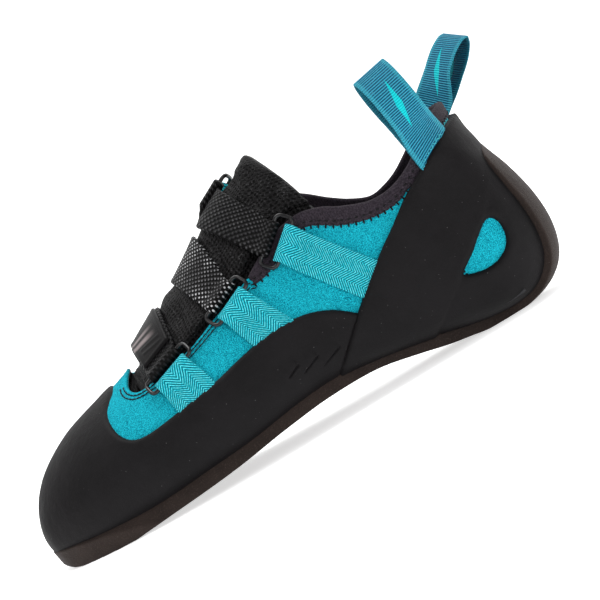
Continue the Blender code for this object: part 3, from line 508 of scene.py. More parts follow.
def worn_on(made, slot, *nodes):
    """The piece rides on the shoe and stands for its plain solids. slot is not used."""
    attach(made, "root")
    if nodes:
        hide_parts(*nodes)
    return made


def ease(share):
    """0 to 1 with a soft start and end."""
    share = np.clip(share, 0, 1)
    return share * share * (3 - 2 * share)


def bell(distance, width):
    """1 at no distance, and a soft fall to 0 within about twice the width."""
    return np.exp(-((distance / width) ** 2))


def round_edge(inside, radius):
    """0 at an edge to 1 at a radius inside it, along a quarter circle."""
    return np.sqrt(np.clip(1 - (1 - np.clip(inside / radius, 0, 1)) ** 2, 0, 1))


def crease(points, start, end, depth, width):
    """A soft trough of a depth between two (x, z) places, fading out sideways and at its ends."""
    start, end = np.array(start, float), np.array(end, float)
    step = end - start
    flat = points[..., [0, 2]] - start
    share = (flat @ step) / (step @ step)
    away = np.linalg.norm(flat - np.clip(share, 0, 1)[..., None] * step, axis=-1)
    fade = np.sin(np.pi * np.clip(share * 0.86 + 0.07, 0, 1)) ** 0.5
    return -depth * bell(away, width) * fade


RIM_ROWS = (0.0, 0.12, 0.35, 0.7, 1.1, 1.6, 2.1, 2.6, 3.1, 3.7, 4.3, 4.9, 5.5, 6.3)
RIM_ROUND = 0.8
STITCH_ROWS = (1.8, 3.6)
STITCH_SUNK = 0.16
STITCH_GROOVE = 0.45
RIM_STEPS, DOWN_STEPS = 230, 46
UNDER_BINDING = 1.6
HEEL_TOP_SECTION = 20.35
UPPER_CREASES = (
    ((96, 57), (104, 45), 0.8, 2.4), ((101, 59), (112, 47), 0.55, 2.0), ((128, 63), (138, 49), 0.8, 2.6),
    ((177, 64), (168, 52), 0.9, 2.8), ((186, 64), (194, 60), 0.7, 2.4), ((150, 70), (160, 60), 0.6, 2.6),
    ((158, 73), (172, 66), 0.6, 2.4), ((56, 51), (63, 40), 0.6, 2.6), ((69, 49), (67, 40), 0.55, 2.0),
    ((146, 64), (151, 48), 0.7, 3.0),
)


def rim_spots(side, count):
    """The (s, v) along the upper's free edge, from the front of the throat back to the top of the heel."""
    line = np.vstack([THROAT_TOP[side], np.array(BINDING_FOOT[side]) + (0, UNDER_BINDING)])
    found = FOOT.spots(evenly(line, count), side)
    found[0] = (found[0, 0], 0.0)
    found[-1] = (HEEL_TOP_SECTION, side)
    found[:, 1] = side * np.abs(found[:, 1])
    return found


def upper_grid(side):
    """s, v and nearest distance to the rim over one side: straight runs in (s, v) from the rim to the line under
    the foot, which start at the toe tip and end at the top of the heel."""
    rim = rim_spots(side, RIM_STEPS)
    corner = int(np.argmin(rim[:40, 0]))
    sole = np.zeros_like(rim)
    sole[: corner + 1, 1] = side * np.linspace(0, 1, corner + 1)
    ahead = np.maximum.accumulate(rim[corner:, 0])
    sole[corner:, 0] = HEEL_TOP_SECTION * (ahead - ahead[0]) / (ahead[-1] - ahead[0])
    sole[corner:, 1] = side
    steps = np.linspace(0, 1, 14)[None, :, None]
    path = rim[:, None] * (1 - steps) + sole[:, None] * steps
    length = np.linalg.norm(np.diff(FOOT.at(path[..., 0], path[..., 1]), axis=1), axis=2).sum(1)
    length = np.maximum(length, 1e-3)
    first = np.minimum(np.array(RIM_ROWS)[None] / length[:, None], np.linspace(0, 0.9, len(RIM_ROWS))[None])
    rest = first[:, -1:] + (1 - first[:, -1:]) * np.linspace(0, 1, DOWN_STEPS + 1)[None, 1:]
    share = np.concatenate([first, rest], 1)
    grid = rim[:, None] * (1 - share[..., None]) + sole[:, None] * share[..., None]
    places = FOOT.at(grid[..., 0], grid[..., 1])
    fine = np.linspace(0, RIM_STEPS - 1, 4 * RIM_STEPS)
    rim_line = read_line(fine, np.arange(RIM_STEPS), places[:, 0])
    away = [np.linalg.norm(run[:, None] - rim_line, axis=2).min(1) for run in places.transpose(1, 0, 2)]
    return grid[..., 0], grid[..., 1], np.maximum.accumulate(np.stack(away, 1), axis=1)


def microfibre():
    """Napped cloth: a fine pile with a slow drift of tone where it has been stroked, and a soft sheen."""
    paint = Paint("teal_microfibre", Roughness=0.95, Specular_IOR_Level=0.04, Sheen_Weight=0.03,
                  Sheen_Roughness=0.5, Sheen_Tint=(0.45, 0.95, 1.0, 1))
    pile = paint.noise(2.7, 1.0, 0.6)
    stroked = paint.noise(0.06, 3.0, 0.5)
    colour = paint.mix(pile.over(0.36, 0.64), (0.0, 0.13, 0.20), (0.016, 0.57, 0.70))
    colour = paint.mix(stroked.over(0.35, 0.65) * 0.25, colour, (0.012, 0.46, 0.58))
    paint.use("Base Color", colour)
    paint.relief(stroked * 0.25, pile * 0.16)
    return paint.material


def lining():
    """The grey-black brushed lining inside the upper."""
    paint = Paint("lining", Roughness=0.95, Sheen_Weight=0.2)
    pile = paint.noise(1.6, 3.0, 0.6)
    paint.use("Base Color", paint.mix(pile, (0.018, 0.018, 0.02), (0.05, 0.05, 0.055)))
    paint.relief(pile * 0.15)
    return paint.material


sides = [upper_grid(side) for side in (OUTER, INNER)]
s, v, from_rim = (np.concatenate([outer[:, ::-1], inner], 1) for outer, inner in zip(*sides))
kept = np.ones((s.shape[0] - 1, s.shape[1] - 1), bool)
kept[:, sides[0][0].shape[1] - 1] = False
rolled = RIM_ROUND * (1 - round_edge(from_rim, RIM_ROUND))
face = FOOT.at(s, v)
lift = sum(crease(face, *values) for values in UPPER_CREASES) - rolled
lift = lift - STITCH_SUNK * sum(bell(from_rim - row, STITCH_GROOVE) for row in STITCH_ROWS)
upper = add_shell("upper_cloth", FOOT.at(s, v, lift), FOOT.at(s, v, rolled - UPPER_WALL), [microfibre(), lining()],
                  kept, wrap=True)
worn_on(upper, "teal_microfibre", "upper")

# Insole
# A board covered in dark brushed cloth. It closes the opening under the foot and shows deep inside the collar.
BOARD_INSET = 9.4
BOARD_UP = 1.0
BOARD_THICK = 1.2
board_s = np.linspace(2.6, 13.6, 80)
board_across = np.linspace(-1, 1, 31)
under = FOOT.at(board_s[:, None], -1.0, -UPPER_WALL)[:, 0]
lowest = np.abs(FOOT.v) > 0.55
girth = FOOT.read(FOOT.points, board_s[:, None], FOOT.v[lowest])
board_low = girth[..., 1].min(1) + BOARD_INSET
board_high = girth[..., 1].max(1) - BOARD_INSET
board_y = (board_low + board_high)[:, None] / 2 + (board_high - board_low)[:, None] / 2 * board_across
board_top = np.stack(np.broadcast_arrays(under[:, :1], board_y, under[:, 2:] + BOARD_UP), -1)
board = add_shell("insole_board", board_top, board_top - (0, 0, BOARD_THICK), [lining()])
worn_on(board, "insole_board", "insole")

# Toe rand
# Matte black rubber, 1.9 mm thick, pulled over the toe and both sides of the foot and glued down. It is stuck on
# before the sole and the heel band, so it runs a little way under both, and it has three slanted ribs on each side.
RUBBER = 1.9
CLEAR = 0.3
RUBBER_LIFT = RUBBER + CLEAR
UNDER_SOLE = 1.1
UNDER_BAND = 3.0
HIDDEN = -0.6
EDGE_FALL = 0.35
ON_LINE = 0.03
RIBS = (((123.0, 27.3), (129.1, 30.1)), ((129.4, 25.7), (137.7, 29.1)), ((137.8, 24.0), (147.3, 27.6)))
RIB_SECTIONS = (8.55, 9.95)
RIB_HIGH = 0.6
RIB_GROOVE = 0.7
TOE_EDGE_THIN = 1.2
SOLE_LINE = (
    (-8, 10.1), (3, 9.8), (25, 8.8), (50, 8.4), (75, 10.4), (98, 12.2), (122, 15.4), (141, 16.1), (162, 13.3),
    (183, 9.4), (200, 5.2), (211, 3.4), (222, 3.2), (231, 6.0), (238.3, 13.5), (241.4, 24.0), (241.2, 38.0),
    (238.9, 51.0), (237.0, 61.0), (237.6, 65.6), (240.5, 68.2), (246, 69.5), (262, 70.5),
)
RAND_TOP = (
    (58.8, 68), (57.8, 61.5), (56.2, 57.8), (53, 55.0), (50.2, 51.8), (49.3, 47.0), (50.7, 41.4), (54.5, 37.6),
    (60, 36.2), (69, 36.9), (82, 38.9), (97, 41.2), (112, 44.6), (127, 46.8), (141, 45.8), (152, 41.6), (161, 34.6),
    (172, 26.0),
)
BAND_FRONT = (
    (131.8, 6.0), (141.4, 15.6), (151, 25.2), (161, 34.6), (170.4, 42.7), (181.6, 51.6), (191.4, 58.4),
    (200.3, 65.0), (214.6, 73.4), (225, 78.9), (236.7, 83.7), (262, 85.0),
)
sole_line, rand_top, band_front = (smooth_line(line, 8) for line in (SOLE_LINE, RAND_TOP, BAND_FRONT))


def rows_apart(first, last, step):
    """Sections from first to last, with step for the mean distance between them round the lower foot."""
    s = np.linspace(first, last, 600)
    ring = FOOT.at(s[:, None], np.linspace(0.4, 1, 21))
    length = np.append(0, np.cumsum(np.linalg.norm(np.diff(ring, axis=0), axis=2).mean(1)))
    return np.interp(np.linspace(0, length[-1], int(length[-1] / step)), length, s)


def shoulder(inside, thick, radius):
    """The height of a sheet at a distance inside its outline: flat, then a round shoulder, then a steep dive."""
    height = thick - radius * (1 - round_edge(inside, radius))
    return np.where(inside > -ON_LINE, height, np.maximum(height + (inside + ON_LINE) / EDGE_FALL * 4.0, HIDDEN))


def onto_outline(s, v, inside_of):
    """Moves the grid's points nearest an outline onto it, and the next ones outside it to just beyond it.

    Each moves along the steepest way of the distance over the grid, in three goes, so the rubber's edge is smooth.
    """
    inner = (s > s.min()) & (s < s.max()) & (np.abs(v) < 1)
    way = wanted = None
    for _ in range(3):
        seen = FOOT.at(s, v, RUBBER_LIFT)
        inside = inside_of(seen[..., 0], seen[..., 2])
        if way is None:
            slope_s, slope_v = np.gradient(inside)
            size = np.maximum(slope_s**2 + slope_v**2, 1e-6)
            step = np.sqrt(size)
            on_it = inner & (np.abs(inside) <= 0.5 * step)
            beyond = inner & (inside < -0.5 * step) & (inside > -1.95 * step)
            way = slope_s * np.gradient(s, axis=0) / size, slope_v * np.gradient(v, axis=1) / size
            wanted = np.where(on_it, 0.0, -EDGE_FALL + 0.15 * (inside + 0.5 * step))
        move = np.where(on_it | beyond, np.clip(wanted - inside, -1.8 * step, 1.8 * step), 0)
        s, v = s + move * way[0], v + move * way[1]
    seen = FOOT.at(s, v, RUBBER_LIFT)
    return s, v, seen[..., 0], seen[..., 2], inside_of(seen[..., 0], seen[..., 2])


def rubber_sheet(name, s, v, inside, thick, radius, material):
    """Rubber over the kept part of the foot: its outer face dives under the upper's face outside its outline."""
    keep = np.maximum.reduce([inside[:-1, :-1], inside[1:, :-1], inside[:-1, 1:], inside[1:, 1:]]) > -0.02
    under = np.full(s.shape, HIDDEN - 0.3)
    return add_shell(name, FOOT.at(s, v, shoulder(inside, thick, radius)), FOOT.at(s, v, under), [material], keep,
                     wrap=True, sharp=80)


def rubber(name, colour, speckle, coarse=0.11):
    """Matte rubber: a fine orange-peel surface, faint smears, and a few specks of dust and chalk."""
    paint = Paint(name, Roughness=0.62, Specular_IOR_Level=0.11)
    smear = paint.noise(0.05, 4.0, 0.6)
    grain = paint.noise(1.9, 3.0, 0.6)
    dust = 1 - paint.cells(0.42).over(0.03, 0.08)
    dust = dust * paint.noise(0.5, 2.0).over(0.50, 0.60) * speckle
    pale = tuple(k * 1.6 for k in colour)
    base = paint.mix(smear.over(0.3, 0.7) * 0.8, colour, pale)
    base = paint.mix(grain.over(0.52, 0.72) * (coarse * 3), base, tuple(k * 2.3 for k in colour))
    paint.use("Base Color", paint.mix(dust * 0.45, base, (0.30, 0.29, 0.29)))
    paint.use("Roughness", smear * 0.16 + 0.52)
    paint.relief(paint.noise(0.22, 3.0) * 0.3, grain * coarse)
    return paint.material


black_rubber = rubber("black_rubber", (0.0062, 0.0056, 0.0062), 1.0)


def toe_inside(x, z):
    """How far a place is inside the outline: over the sole line, under the rand's top and before the band."""
    return np.minimum.reduce([side_of(sole_line, x, z) + UNDER_SOLE, -side_of(rand_top, x, z),
                              side_of(band_front, x, z) + UNDER_BAND])


def raised_rib(x, z, start, end):
    """A slanted rib: it swells slowly from above, and drops sharply below into a shallow groove."""
    along, across = np.array(end) - start, np.array((x - start[0], z - start[1]))
    run = np.hypot(*along)
    share = (across[0] * along[0] + across[1] * along[1]) / run**2
    above = (across[1] * along[0] - across[0] * along[1]) / run
    ends = ease((share + 0.08) / 0.2) * ease((1.08 - share) / 0.2)
    swollen = bell(above, np.where(above > 0, 3.0, 0.25))
    return ends * (RIB_HIGH * swollen - RIB_GROOVE * bell(above + 0.55, 0.4))


row_s = np.sort(np.concatenate([rows_apart(0.0, 11.8, 0.95), np.linspace(*RIB_SECTIONS, 60)]))
rib_v = FOOT.spots(np.concatenate(RIBS), OUTER)[:, 1]
rib_v = np.linspace(rib_v.min() - 0.02, rib_v.max() + 0.02, 46)
column_v = np.sort(np.concatenate([np.linspace(-1, 1, 241), rib_v, -rib_v]))
s, v = np.meshgrid(row_s, column_v, indexing="ij")
s, v, x, z, inside = onto_outline(s, v, toe_inside)
rib = sum(raised_rib(x, z, *place) for place in RIBS)
below_top = -side_of(rand_top, x, z)
swell = 0.18 * bell(below_top - 2.2, 1.6)
over_toes = (1 - ease((np.abs(v) - 0.2) / 0.3)) * (1 - ease((x - 60) / 15))
thinned = TOE_EDGE_THIN * (1 - ease(below_top / 20)) * over_toes
under_band = 0.7 * ease(1 - np.abs(side_of(band_front, x, z) + 0.2) / 1.4)
thick = RUBBER_LIFT + rib + swell - thinned - under_band
toe_rand = rubber_sheet("toe_rand_rubber", s, v, inside, thick, 1.1, black_rubber)
worn_on(toe_rand, "black_rubber", "toe_rand")

# Heel rand
# The cup that holds the heel, of the same black rubber. A second layer crosses it as a tension band from under the
# arch, and fades into the cup above the drop-shaped window that shows the upper's cloth.
BAND_STEP = 0.8
BAND_BACK = ((175.0, -1.0), (181.5, 6.5), (187.5, 13.0), (194.2, 18.6), (204.6, 26.6), (213.7, 33.4), (221.5, 39.6),
             (229.0, 48.0))
BAND_FADES = (38.0, 58.0)
LOOP_ROOTS = ((OUTER, 219.5, 75.6), (INNER, 231.0, 83.5))
LOOP_BULGE = 1.0
LOOP_BULGE_REACH = 11.0
HEEL_FULLER = 1.5
CUTOUT = ((204.8, 26.4), (213.7, 32.6), (220.9, 38.6), (226.0, 41.4), (229.4, 39.6), (230.5, 35.2), (229.2, 29.2),
          (224.6, 24.8), (217.6, 23.0), (210.4, 24.0))
window = smooth_line(CUTOUT + CUTOUT[:1], 8)
band_back = smooth_line(BAND_BACK, 8)


def heel_inside(x, z):
    """How far a place is inside the heel rand's outline: behind the band's front, over the sole line and outside
    the window."""
    return np.minimum.reduce([-side_of(band_front, x, z), side_of(sole_line, x, z) + UNDER_SOLE,
                              outside_of(window, x, z)])


s, v = np.meshgrid(rows_apart(8.6, 20.4, 0.8), np.linspace(-1, 1, 281), indexing="ij")
s, v, x, z, inside = onto_outline(s, v, heel_inside)
past_band = side_of(band_back, x, z)
band = ease(past_band / 0.9 + 0.5)
fades = np.clip((z - BAND_FADES[0]) / np.ptp(BAND_FADES), 0, 1)
step_up = BAND_STEP * (band + (0.45 - band) * ease(fades))
pinch = 0.25 * bell(past_band + 1.3, 1.0) * (1 - fades)
over_loops = sum(
    np.where(v * side > 0, ease(1 - np.hypot(x - at_x, z - at_z) / LOOP_BULGE_REACH), 0)
    for side, at_x, at_z in LOOP_ROOTS
)
window_lip = 0.22 * bell(outside_of(window, x, z) - 2.4, 1.5)
over_heel = HEEL_FULLER * ease((np.abs(v) - 0.55) / 0.4) * bell(z - 70, 11) * ease((x - 222) / 10)
thick = RUBBER_LIFT + step_up - pinch + LOOP_BULGE * over_loops + window_lip + over_heel
heel_rand = rubber_sheet("heel_rand_rubber", s, v, inside, thick, 0.6, black_rubber)
worn_on(heel_rand, "black_rubber", "heel_rand")

# Outsole
# One strip of climbing rubber, slightly browner, glued on from the toe to the top of the heel. Under the forefoot
# its edge is ground square and crisp. It thins and rounds over where it wraps up the back of the heel.
SOLE_SIDE = 2.6
SOLE_DRAFT = 1.3
SOLE_WRAPS = (12.2, 14.2)
TOE_CRISP = (0.2, 2.2)
SOLE_EDGE_ROUND = 0.5
HEEL_SOLE_PROUD = 1.5
HEEL_PROUD_FROM, HEEL_PROUD_OVER = 13.2, 2.2
SOLE_BED = 0.35
LEAST_SOLE = 1.2
GROUND_ROUND = 0.9
EDGE_COLUMNS = (0.0, 0.06, 0.18, 0.36, 0.6, 0.9, 1.5, 2.3, 3.2)
SOLE_COLUMNS = 76


def soft_least(a, b, blend):
    """The lesser of two, rounded over where they are about equal."""
    return 0.5 * (a + b - np.sqrt((a - b) ** 2 + blend**2))


def sole_reach():
    """How far the sole's outer face lies off the upper, over the foot's table.

    Forward of the heel it is a box: its side stands square to the sole a fixed way outside the foot's outline, and
    its underside lies a thickness below the foot. At the heel and the toe tip it becomes a thickness alone.
    """
    points, normals, down = FOOT.points, FOOT.normals, FOOT.down
    turned = np.clip((normals * down[:, None]).sum(2), 0, 1)
    side_on = np.sqrt(np.maximum(1 - turned**2, 1e-4))
    depth = ((points[:, :1] - points) * down[:, None]).sum(2)
    outline = []
    for side in (OUTER, INNER):
        pick = np.argmin(np.abs((normals * down[:, None]).sum(2)) + 9 * (FOOT.v * side < 0.15), axis=1)
        outline.append(points[np.arange(len(pick)), pick][::4])
    outline = np.vstack(outline)
    recess = np.zeros(depth.shape)
    for i in range(len(points)):
        away = outline[None] - points[i][:, None]
        away -= (away @ down[i])[..., None] * down[i]
        recess[i] = np.linalg.norm(away, axis=2).min(axis=1)
    draft = SOLE_SIDE - SOLE_DRAFT * np.clip(1 - depth / 9.0, 0, 1)
    to_side = (recess + draft) / side_on
    to_sole = (depth + FOOT.sole_t[:, None]) / np.maximum(turned, 1e-3)
    box = np.where(turned > 0, soft_least(to_side, to_sole, GROUND_ROUND), SOLE_SIDE)
    rounded = SOLE_SIDE + (FOOT.sole_t[:, None] - SOLE_SIDE) * turned**2
    crisp = np.clip((SOLE_WRAPS[1] - FOOT.s) / (SOLE_WRAPS[1] - SOLE_WRAPS[0]), 0, 1)
    crisp *= np.clip((FOOT.s - TOE_CRISP[0]) / (TOE_CRISP[1] - TOE_CRISP[0]), 0, 1)
    return rounded + (box - rounded) * crisp[:, None]


def sole_edges():
    """For each section of the foot's table, the girth v of the sole's edge on both sides, 1 where it has none."""
    seen = FOOT.at(FOOT.s[:, None], FOOT.v, RUBBER_LIFT)
    height = side_of(sole_line, seen[..., 0], seen[..., 2])
    edges = []
    for side in (OUTER, INNER):
        order = np.argsort(FOOT.v * side)
        order = order[(FOOT.v * side)[order] > 0.35]
        h = height[:, order]
        below = (h < 0).argmax(1)
        below = np.where((h < 0).any(1), np.maximum(below, 1), len(order) - 1)
        k = np.arange(len(h))
        drop = h[k, below - 1] - h[k, below]
        share = np.clip(h[k, below - 1] / np.where(np.abs(drop) < 1e-9, 1e-9, drop), 0, 1)
        share = np.where((h < 0).any(1), share, 1.0)
        v = (FOOT.v * side)[order]
        edges.append(v[below - 1] + (v[below] - v[below - 1]) * share)
    return edges


SOLE_REACH = sole_reach()[..., None]
edge_outer, edge_inner = sole_edges()
has_sole = np.where((edge_outer < 0.9999) & (edge_inner < 0.9999))[0]
sole_from, sole_to = FOOT.s[has_sole[0]] - 0.02, FOOT.s[has_sole[-1]] + 0.02
row_s = rows_apart(sole_from, sole_to, 1.15)
ends = np.array((0.012, 0.03, 0.06, 0.1, 0.16))
row_s = np.sort(np.concatenate([row_s, sole_from + ends, sole_to - ends]))
wide_outer, wide_inner = (1 - np.interp(row_s, FOOT.s, edge) for edge in (edge_outer, edge_inner))
wide_outer[[0, -1]] = wide_inner[[0, -1]] = 0
half_girth = np.linalg.norm(np.diff(FOOT.points, axis=1), axis=2).sum(1) / 2
girth_mm = np.maximum(np.interp(row_s, FOOT.s, half_girth), 1)
whole = (wide_outer + wide_inner) * girth_mm
inset = np.minimum(np.array(EDGE_COLUMNS)[None], whole[:, None] * np.linspace(0, 0.2, len(EDGE_COLUMNS))[None])
middle = inset[:, -1:] + (whole[:, None] - 2 * inset[:, -1:]) * np.linspace(0, 1, SOLE_COLUMNS)[None, 1:-1]
run = np.concatenate([inset, middle, (whole[:, None] - inset)[:, ::-1]], 1)
turned_v = 1 - wide_outer[:, None] + run / girth_mm[:, None]
v = np.where(turned_v <= 1, -turned_v, 2 - turned_v)
s = np.repeat(row_s[:, None], v.shape[1], 1)
reach = FOOT.read(SOLE_REACH, s, v)[..., 0]
seen = FOOT.at(s, v, RUBBER_LIFT)
inside = np.clip(-side_of(sole_line, seen[..., 0], seen[..., 2]), 0, None)
inside = np.minimum(inside, np.minimum(run, whole[:, None] - run))
at_heel = ease((s - HEEL_PROUD_FROM) / HEEL_PROUD_OVER)
reach = reach + HEEL_SOLE_PROUD * at_heel * (0.6 + 0.4 * ease((np.abs(v) - 0.55) / 0.4))
reach = reach - SOLE_EDGE_ROUND * (1 - round_edge(inside, SOLE_EDGE_ROUND))
over = FOOT.at(s, v, reach)
over[..., 2] = np.maximum(over[..., 2], 0.0)
bed = FOOT.at(s, v, np.full(s.shape, SOLE_BED))
bed[..., 2] = np.maximum(bed[..., 2], LEAST_SOLE)
sole_paint = rubber("sole_rubber", (0.0225, 0.0160, 0.0138), 0.6, 0.36)
outsole = add_shell("outsole_rubber", over, bed, [sole_paint], sharp=80)
worn_on(outsole, "sole_rubber", "outsole")

# Tongue
# A thick pad of black spacer mesh that lies in the throat. It is tucked under the upper's edges, and stands up
# above them in front of the ankle, where its soft foam bulges.
TONGUE_FROM, TONGUE_TO = 5.35, 13.1
TONGUE_THICK = 4.8
TUCKED = -3.3
SHOWN = 0.3
THROAT_FRONT = 6.45
WING_SHORT = 0.6
LEAST_RIM = 0.06
TONGUE_ROWS = 150
PAD_ROUND = 2.3
ANKLE_BULGE = 0.8
BETWEEN_STRAPS, STRAPS_BULGE = 95.5, 1.7
RIPPLE = 0.3
# Each column of the tongue: its side of the foot, its share of the way to the rim, its way past it, and its lift
TONGUE_COLUMNS = (
    (OUTER, 1.0, 0.085, TUCKED), (OUTER, 0.95, 0.0, TUCKED), (OUTER, 0.86, 0.0, SHOWN), (OUTER, 0.55, 0.0, SHOWN),
    (OUTER, 0.25, 0.0, SHOWN), (0, 0.0, 0.0, SHOWN), (INNER, 0.22, 0.0, SHOWN), (INNER, 0.48, 0.0, SHOWN),
    (INNER, 0.70, 0.0, SHOWN), (INNER, 0.84, 0.0, TUCKED), (INNER, 1.0, 0.085, TUCKED),
)
# Soft troughs between the pad's bulges: start, end, depth and width, as (x, z) seen from the outer side
TONGUE_TROUGHS = (
    ((152, 107), (146, 92), 1.5, 2.6), ((160, 99), (150, 84), 1.65, 2.6), ((166, 88), (156, 84), 1.35, 2.4),
    ((146, 108), (138, 100), 1.2, 2.2), ((99, 74), (94, 62), 1.05, 2.2), ((124, 88), (121, 74), 1.05, 2.0),
)


def rim_girth(s, side):
    """The girth v at which the top edge of the shoe crosses each section s."""
    rim = np.vstack([evenly(THROAT_TOP[side], 70), evenly(BINDING_TOP[side], 110)])
    found = FOOT.spots(rim[rim[:, 0] < 200], side)
    found = found[np.argsort(found[:, 0])]
    return side * np.maximum(np.interp(s, found[:, 0], np.abs(found[:, 1])), LEAST_RIM)


def spacer_mesh():
    """Spacer mesh: small round holes, a little out of line, each dark between shiny knitted threads."""
    paint = Paint("black_mesh", Roughness=0.55, Specular_IOR_Level=0.10)
    along, across = paint.lengthwise_and_across()
    drift = paint.noise(0.35, 2.0) * 2.6
    holes = ((along + drift).wave(2.1) + (across + drift).wave(1.8)) * 0.25 + 0.5
    weave = paint.noise(1.3, 2.0, 0.7)
    rise = 1 - holes.over(0.45, 0.85)
    colour = paint.mix(rise.over(0.1, 0.9), (0.0003, 0.0003, 0.0003), (0.0075, 0.007, 0.0075))
    paint.use("Base Color", paint.mix(weave.over(0.52, 0.72) * rise * 0.8, colour, (0.055, 0.054, 0.056)))
    paint.relief(rise * 0.7, weave * 0.3)
    return paint.material


share = np.linspace(0, 1, TONGUE_ROWS)
columns = []
for side, across, tuck, lift in TONGUE_COLUMNS:
    s = TONGUE_FROM + (TONGUE_TO - WING_SHORT * across**2 - TONGUE_FROM) * share
    v = side * (np.abs(rim_girth(s, side or OUTER)) * across + tuck)
    shown = np.clip((s - THROAT_FRONT) / 0.22 + 0.5, 0, 1)
    columns.append(np.stack([s, v, TUCKED + (lift - TUCKED) * shown], 1))
s, v, lift = smooth_line(np.array(columns).reshape(len(columns), -1), 9).reshape(-1, TONGUE_ROWS, 3).T
over = FOOT.at(s, v, lift)
down_rows = np.append(0, np.cumsum(np.linalg.norm(np.diff(over, axis=0), axis=2).mean(1)))
over_columns = np.cumsum(np.linalg.norm(np.diff(over, axis=1, prepend=over[:, :1]), axis=2), 1)
to_sides = np.minimum(over_columns, over_columns[:, -1:] - over_columns)
to_edge = np.minimum(to_sides, (down_rows[-1] - down_rows)[:, None])
rounded = PAD_ROUND * (1 - round_edge(to_edge, PAD_ROUND))
bulge = ANKLE_BULGE * np.clip((s - 11.3) / 0.8, 0, 1) * np.clip(to_edge / 5, 0, 1)
troughs = sum(crease(over, *values) for values in TONGUE_TROUGHS)
between_straps = STRAPS_BULGE * bell(over[..., 0] - BETWEEN_STRAPS, 4.5) * (1 - ease((np.abs(v) - 0.02) / 0.2))
ripple = RIPPLE * np.sin(down_rows[:, None] / 2.9 + 0.12 * over_columns) * np.sin(over_columns / 4.1)
over = FOOT.at(s, v, lift - rounded + bulge + between_straps + troughs + ripple)
under = FOOT.at(s, v, lift - TONGUE_THICK + rounded)
uv = np.stack(np.broadcast_arrays(down_rows[:, None], over_columns), -1)
tongue = add_shell("tongue_pad", over, under, [spacer_mesh()], uv=uv, sharp=180)
worn_on(tongue, "black_mesh", "tongue")

# Collar binding
# A strip of black-purple knit, folded over the ankle opening's edge and sewn through in two dotted rows. Its lower
# edge is overlocked onto the upper in small scallops.
BINDING_PROUD = 0.45
BINDING_WALL = 2.9
BINDING_PUFF = 0.28
DOTS_UP = 1.9
SCALLOP = 3.1
SCALLOP_DEEP = 0.5
UNDER_RUBBER_FROM = (203.0, 209.0)
UNDER_RUBBER = 2.4
BINDING_STEPS = 420


def knit():
    """Fine knit: short ribs along the strip in a purple black."""
    paint = Paint("black_knit", Roughness=0.9, Specular_IOR_Level=0.1, Sheen_Weight=0.05)
    along, across = paint.lengthwise_and_across()
    ribs = along.wave(0.62) * across.wave(0.8)
    fuzz = paint.noise(1.5, 3.0, 0.6)
    colour = paint.mix(fuzz.over(0.35, 0.75), (0.013, 0.0095, 0.014), (0.045, 0.035, 0.046))
    paint.use("Base Color", paint.mix(ribs.over(0.3, 0.9) * 0.5, colour, (0.11, 0.093, 0.11)))
    paint.relief(ribs * 0.06, fuzz * 0.12)
    return paint.material


def apart(first, last):
    """How far apart two lines of (s, v) are on the foot, point by point."""
    return np.linalg.norm(FOOT.at(*first.T) - FOOT.at(*last.T), axis=1)[:, None]


def binding_edge(lines, count):
    """A line round the whole opening as (s, v): back along the outer side, then forward along the inner side."""
    found = [FOOT.spots(evenly(lines[side], count), side) for side in (OUTER, INNER)]
    for spots, side in zip(found, (OUTER, INNER)):
        spots[-1, 1] = side
    return found


binding_foot = binding_edge(BINDING_FOOT, BINDING_STEPS // 2)
binding_top = binding_edge(BINDING_TOP, BINDING_STEPS // 2)
parts = []
for side, foot_line, top_line in zip((OUTER, INNER), binding_foot, binding_top):
    wide = apart(foot_line, top_line)
    steps = run_length(FOOT.at(*foot_line.T))[:, None]
    scallop = SCALLOP_DEEP * np.abs(np.sin(np.pi * steps / SCALLOP))
    foot_x = FOOT.at(*foot_line.T)[:, :1]
    scallop = scallop + UNDER_RUBBER * ease((foot_x - UNDER_RUBBER_FROM[0]) / np.ptp(UNDER_RUBBER_FROM))
    half = BINDING_WALL / 2
    turn = np.linspace(0, math.pi / 2, 9)[None]
    flat = np.linspace(0, 1, 16)[None]
    reach = np.concatenate([-scallop + (wide - half + scallop) * flat, wide - half + half * np.sin(turn)], 1)
    bend = np.concatenate([np.ones_like(flat), np.cos(turn)], 1)
    puff = BINDING_PUFF * np.sin(np.pi * np.clip(reach / wide, 0, 1))
    sunk = bell(reach - DOTS_UP, 0.45) + 0.8 * bell(reach - 4.3, 0.4)
    foot_round = round_edge(reach + scallop, 0.6)
    centre = BINDING_PROUD - half
    over_lift = centre + (half + puff - 0.2 * sunk) * bend
    over_lift = np.where(reach < 1.2, -0.2 + (over_lift + 0.2) * foot_round, over_lift)
    under_lift = centre - half * bend
    place = foot_line[:, None] + (top_line - foot_line)[:, None] * (reach / wide)[..., None]
    faces = [FOOT.at(place[..., 0], place[..., 1], lift) for lift in (over_lift, under_lift)]
    length = steps if side == OUTER else 2 * steps[-1] - steps
    parts.append((*faces, np.stack(np.broadcast_arrays(length, reach), -1)))
over, under, uv = (np.concatenate([parts[0][k], parts[1][k][::-1]]) for k in range(3))
binding = add_shell("collar_binding_knit", over, under, [knit()], uv=uv, sharp=80)
worn_on(binding, "black_knit", "collar_binding")

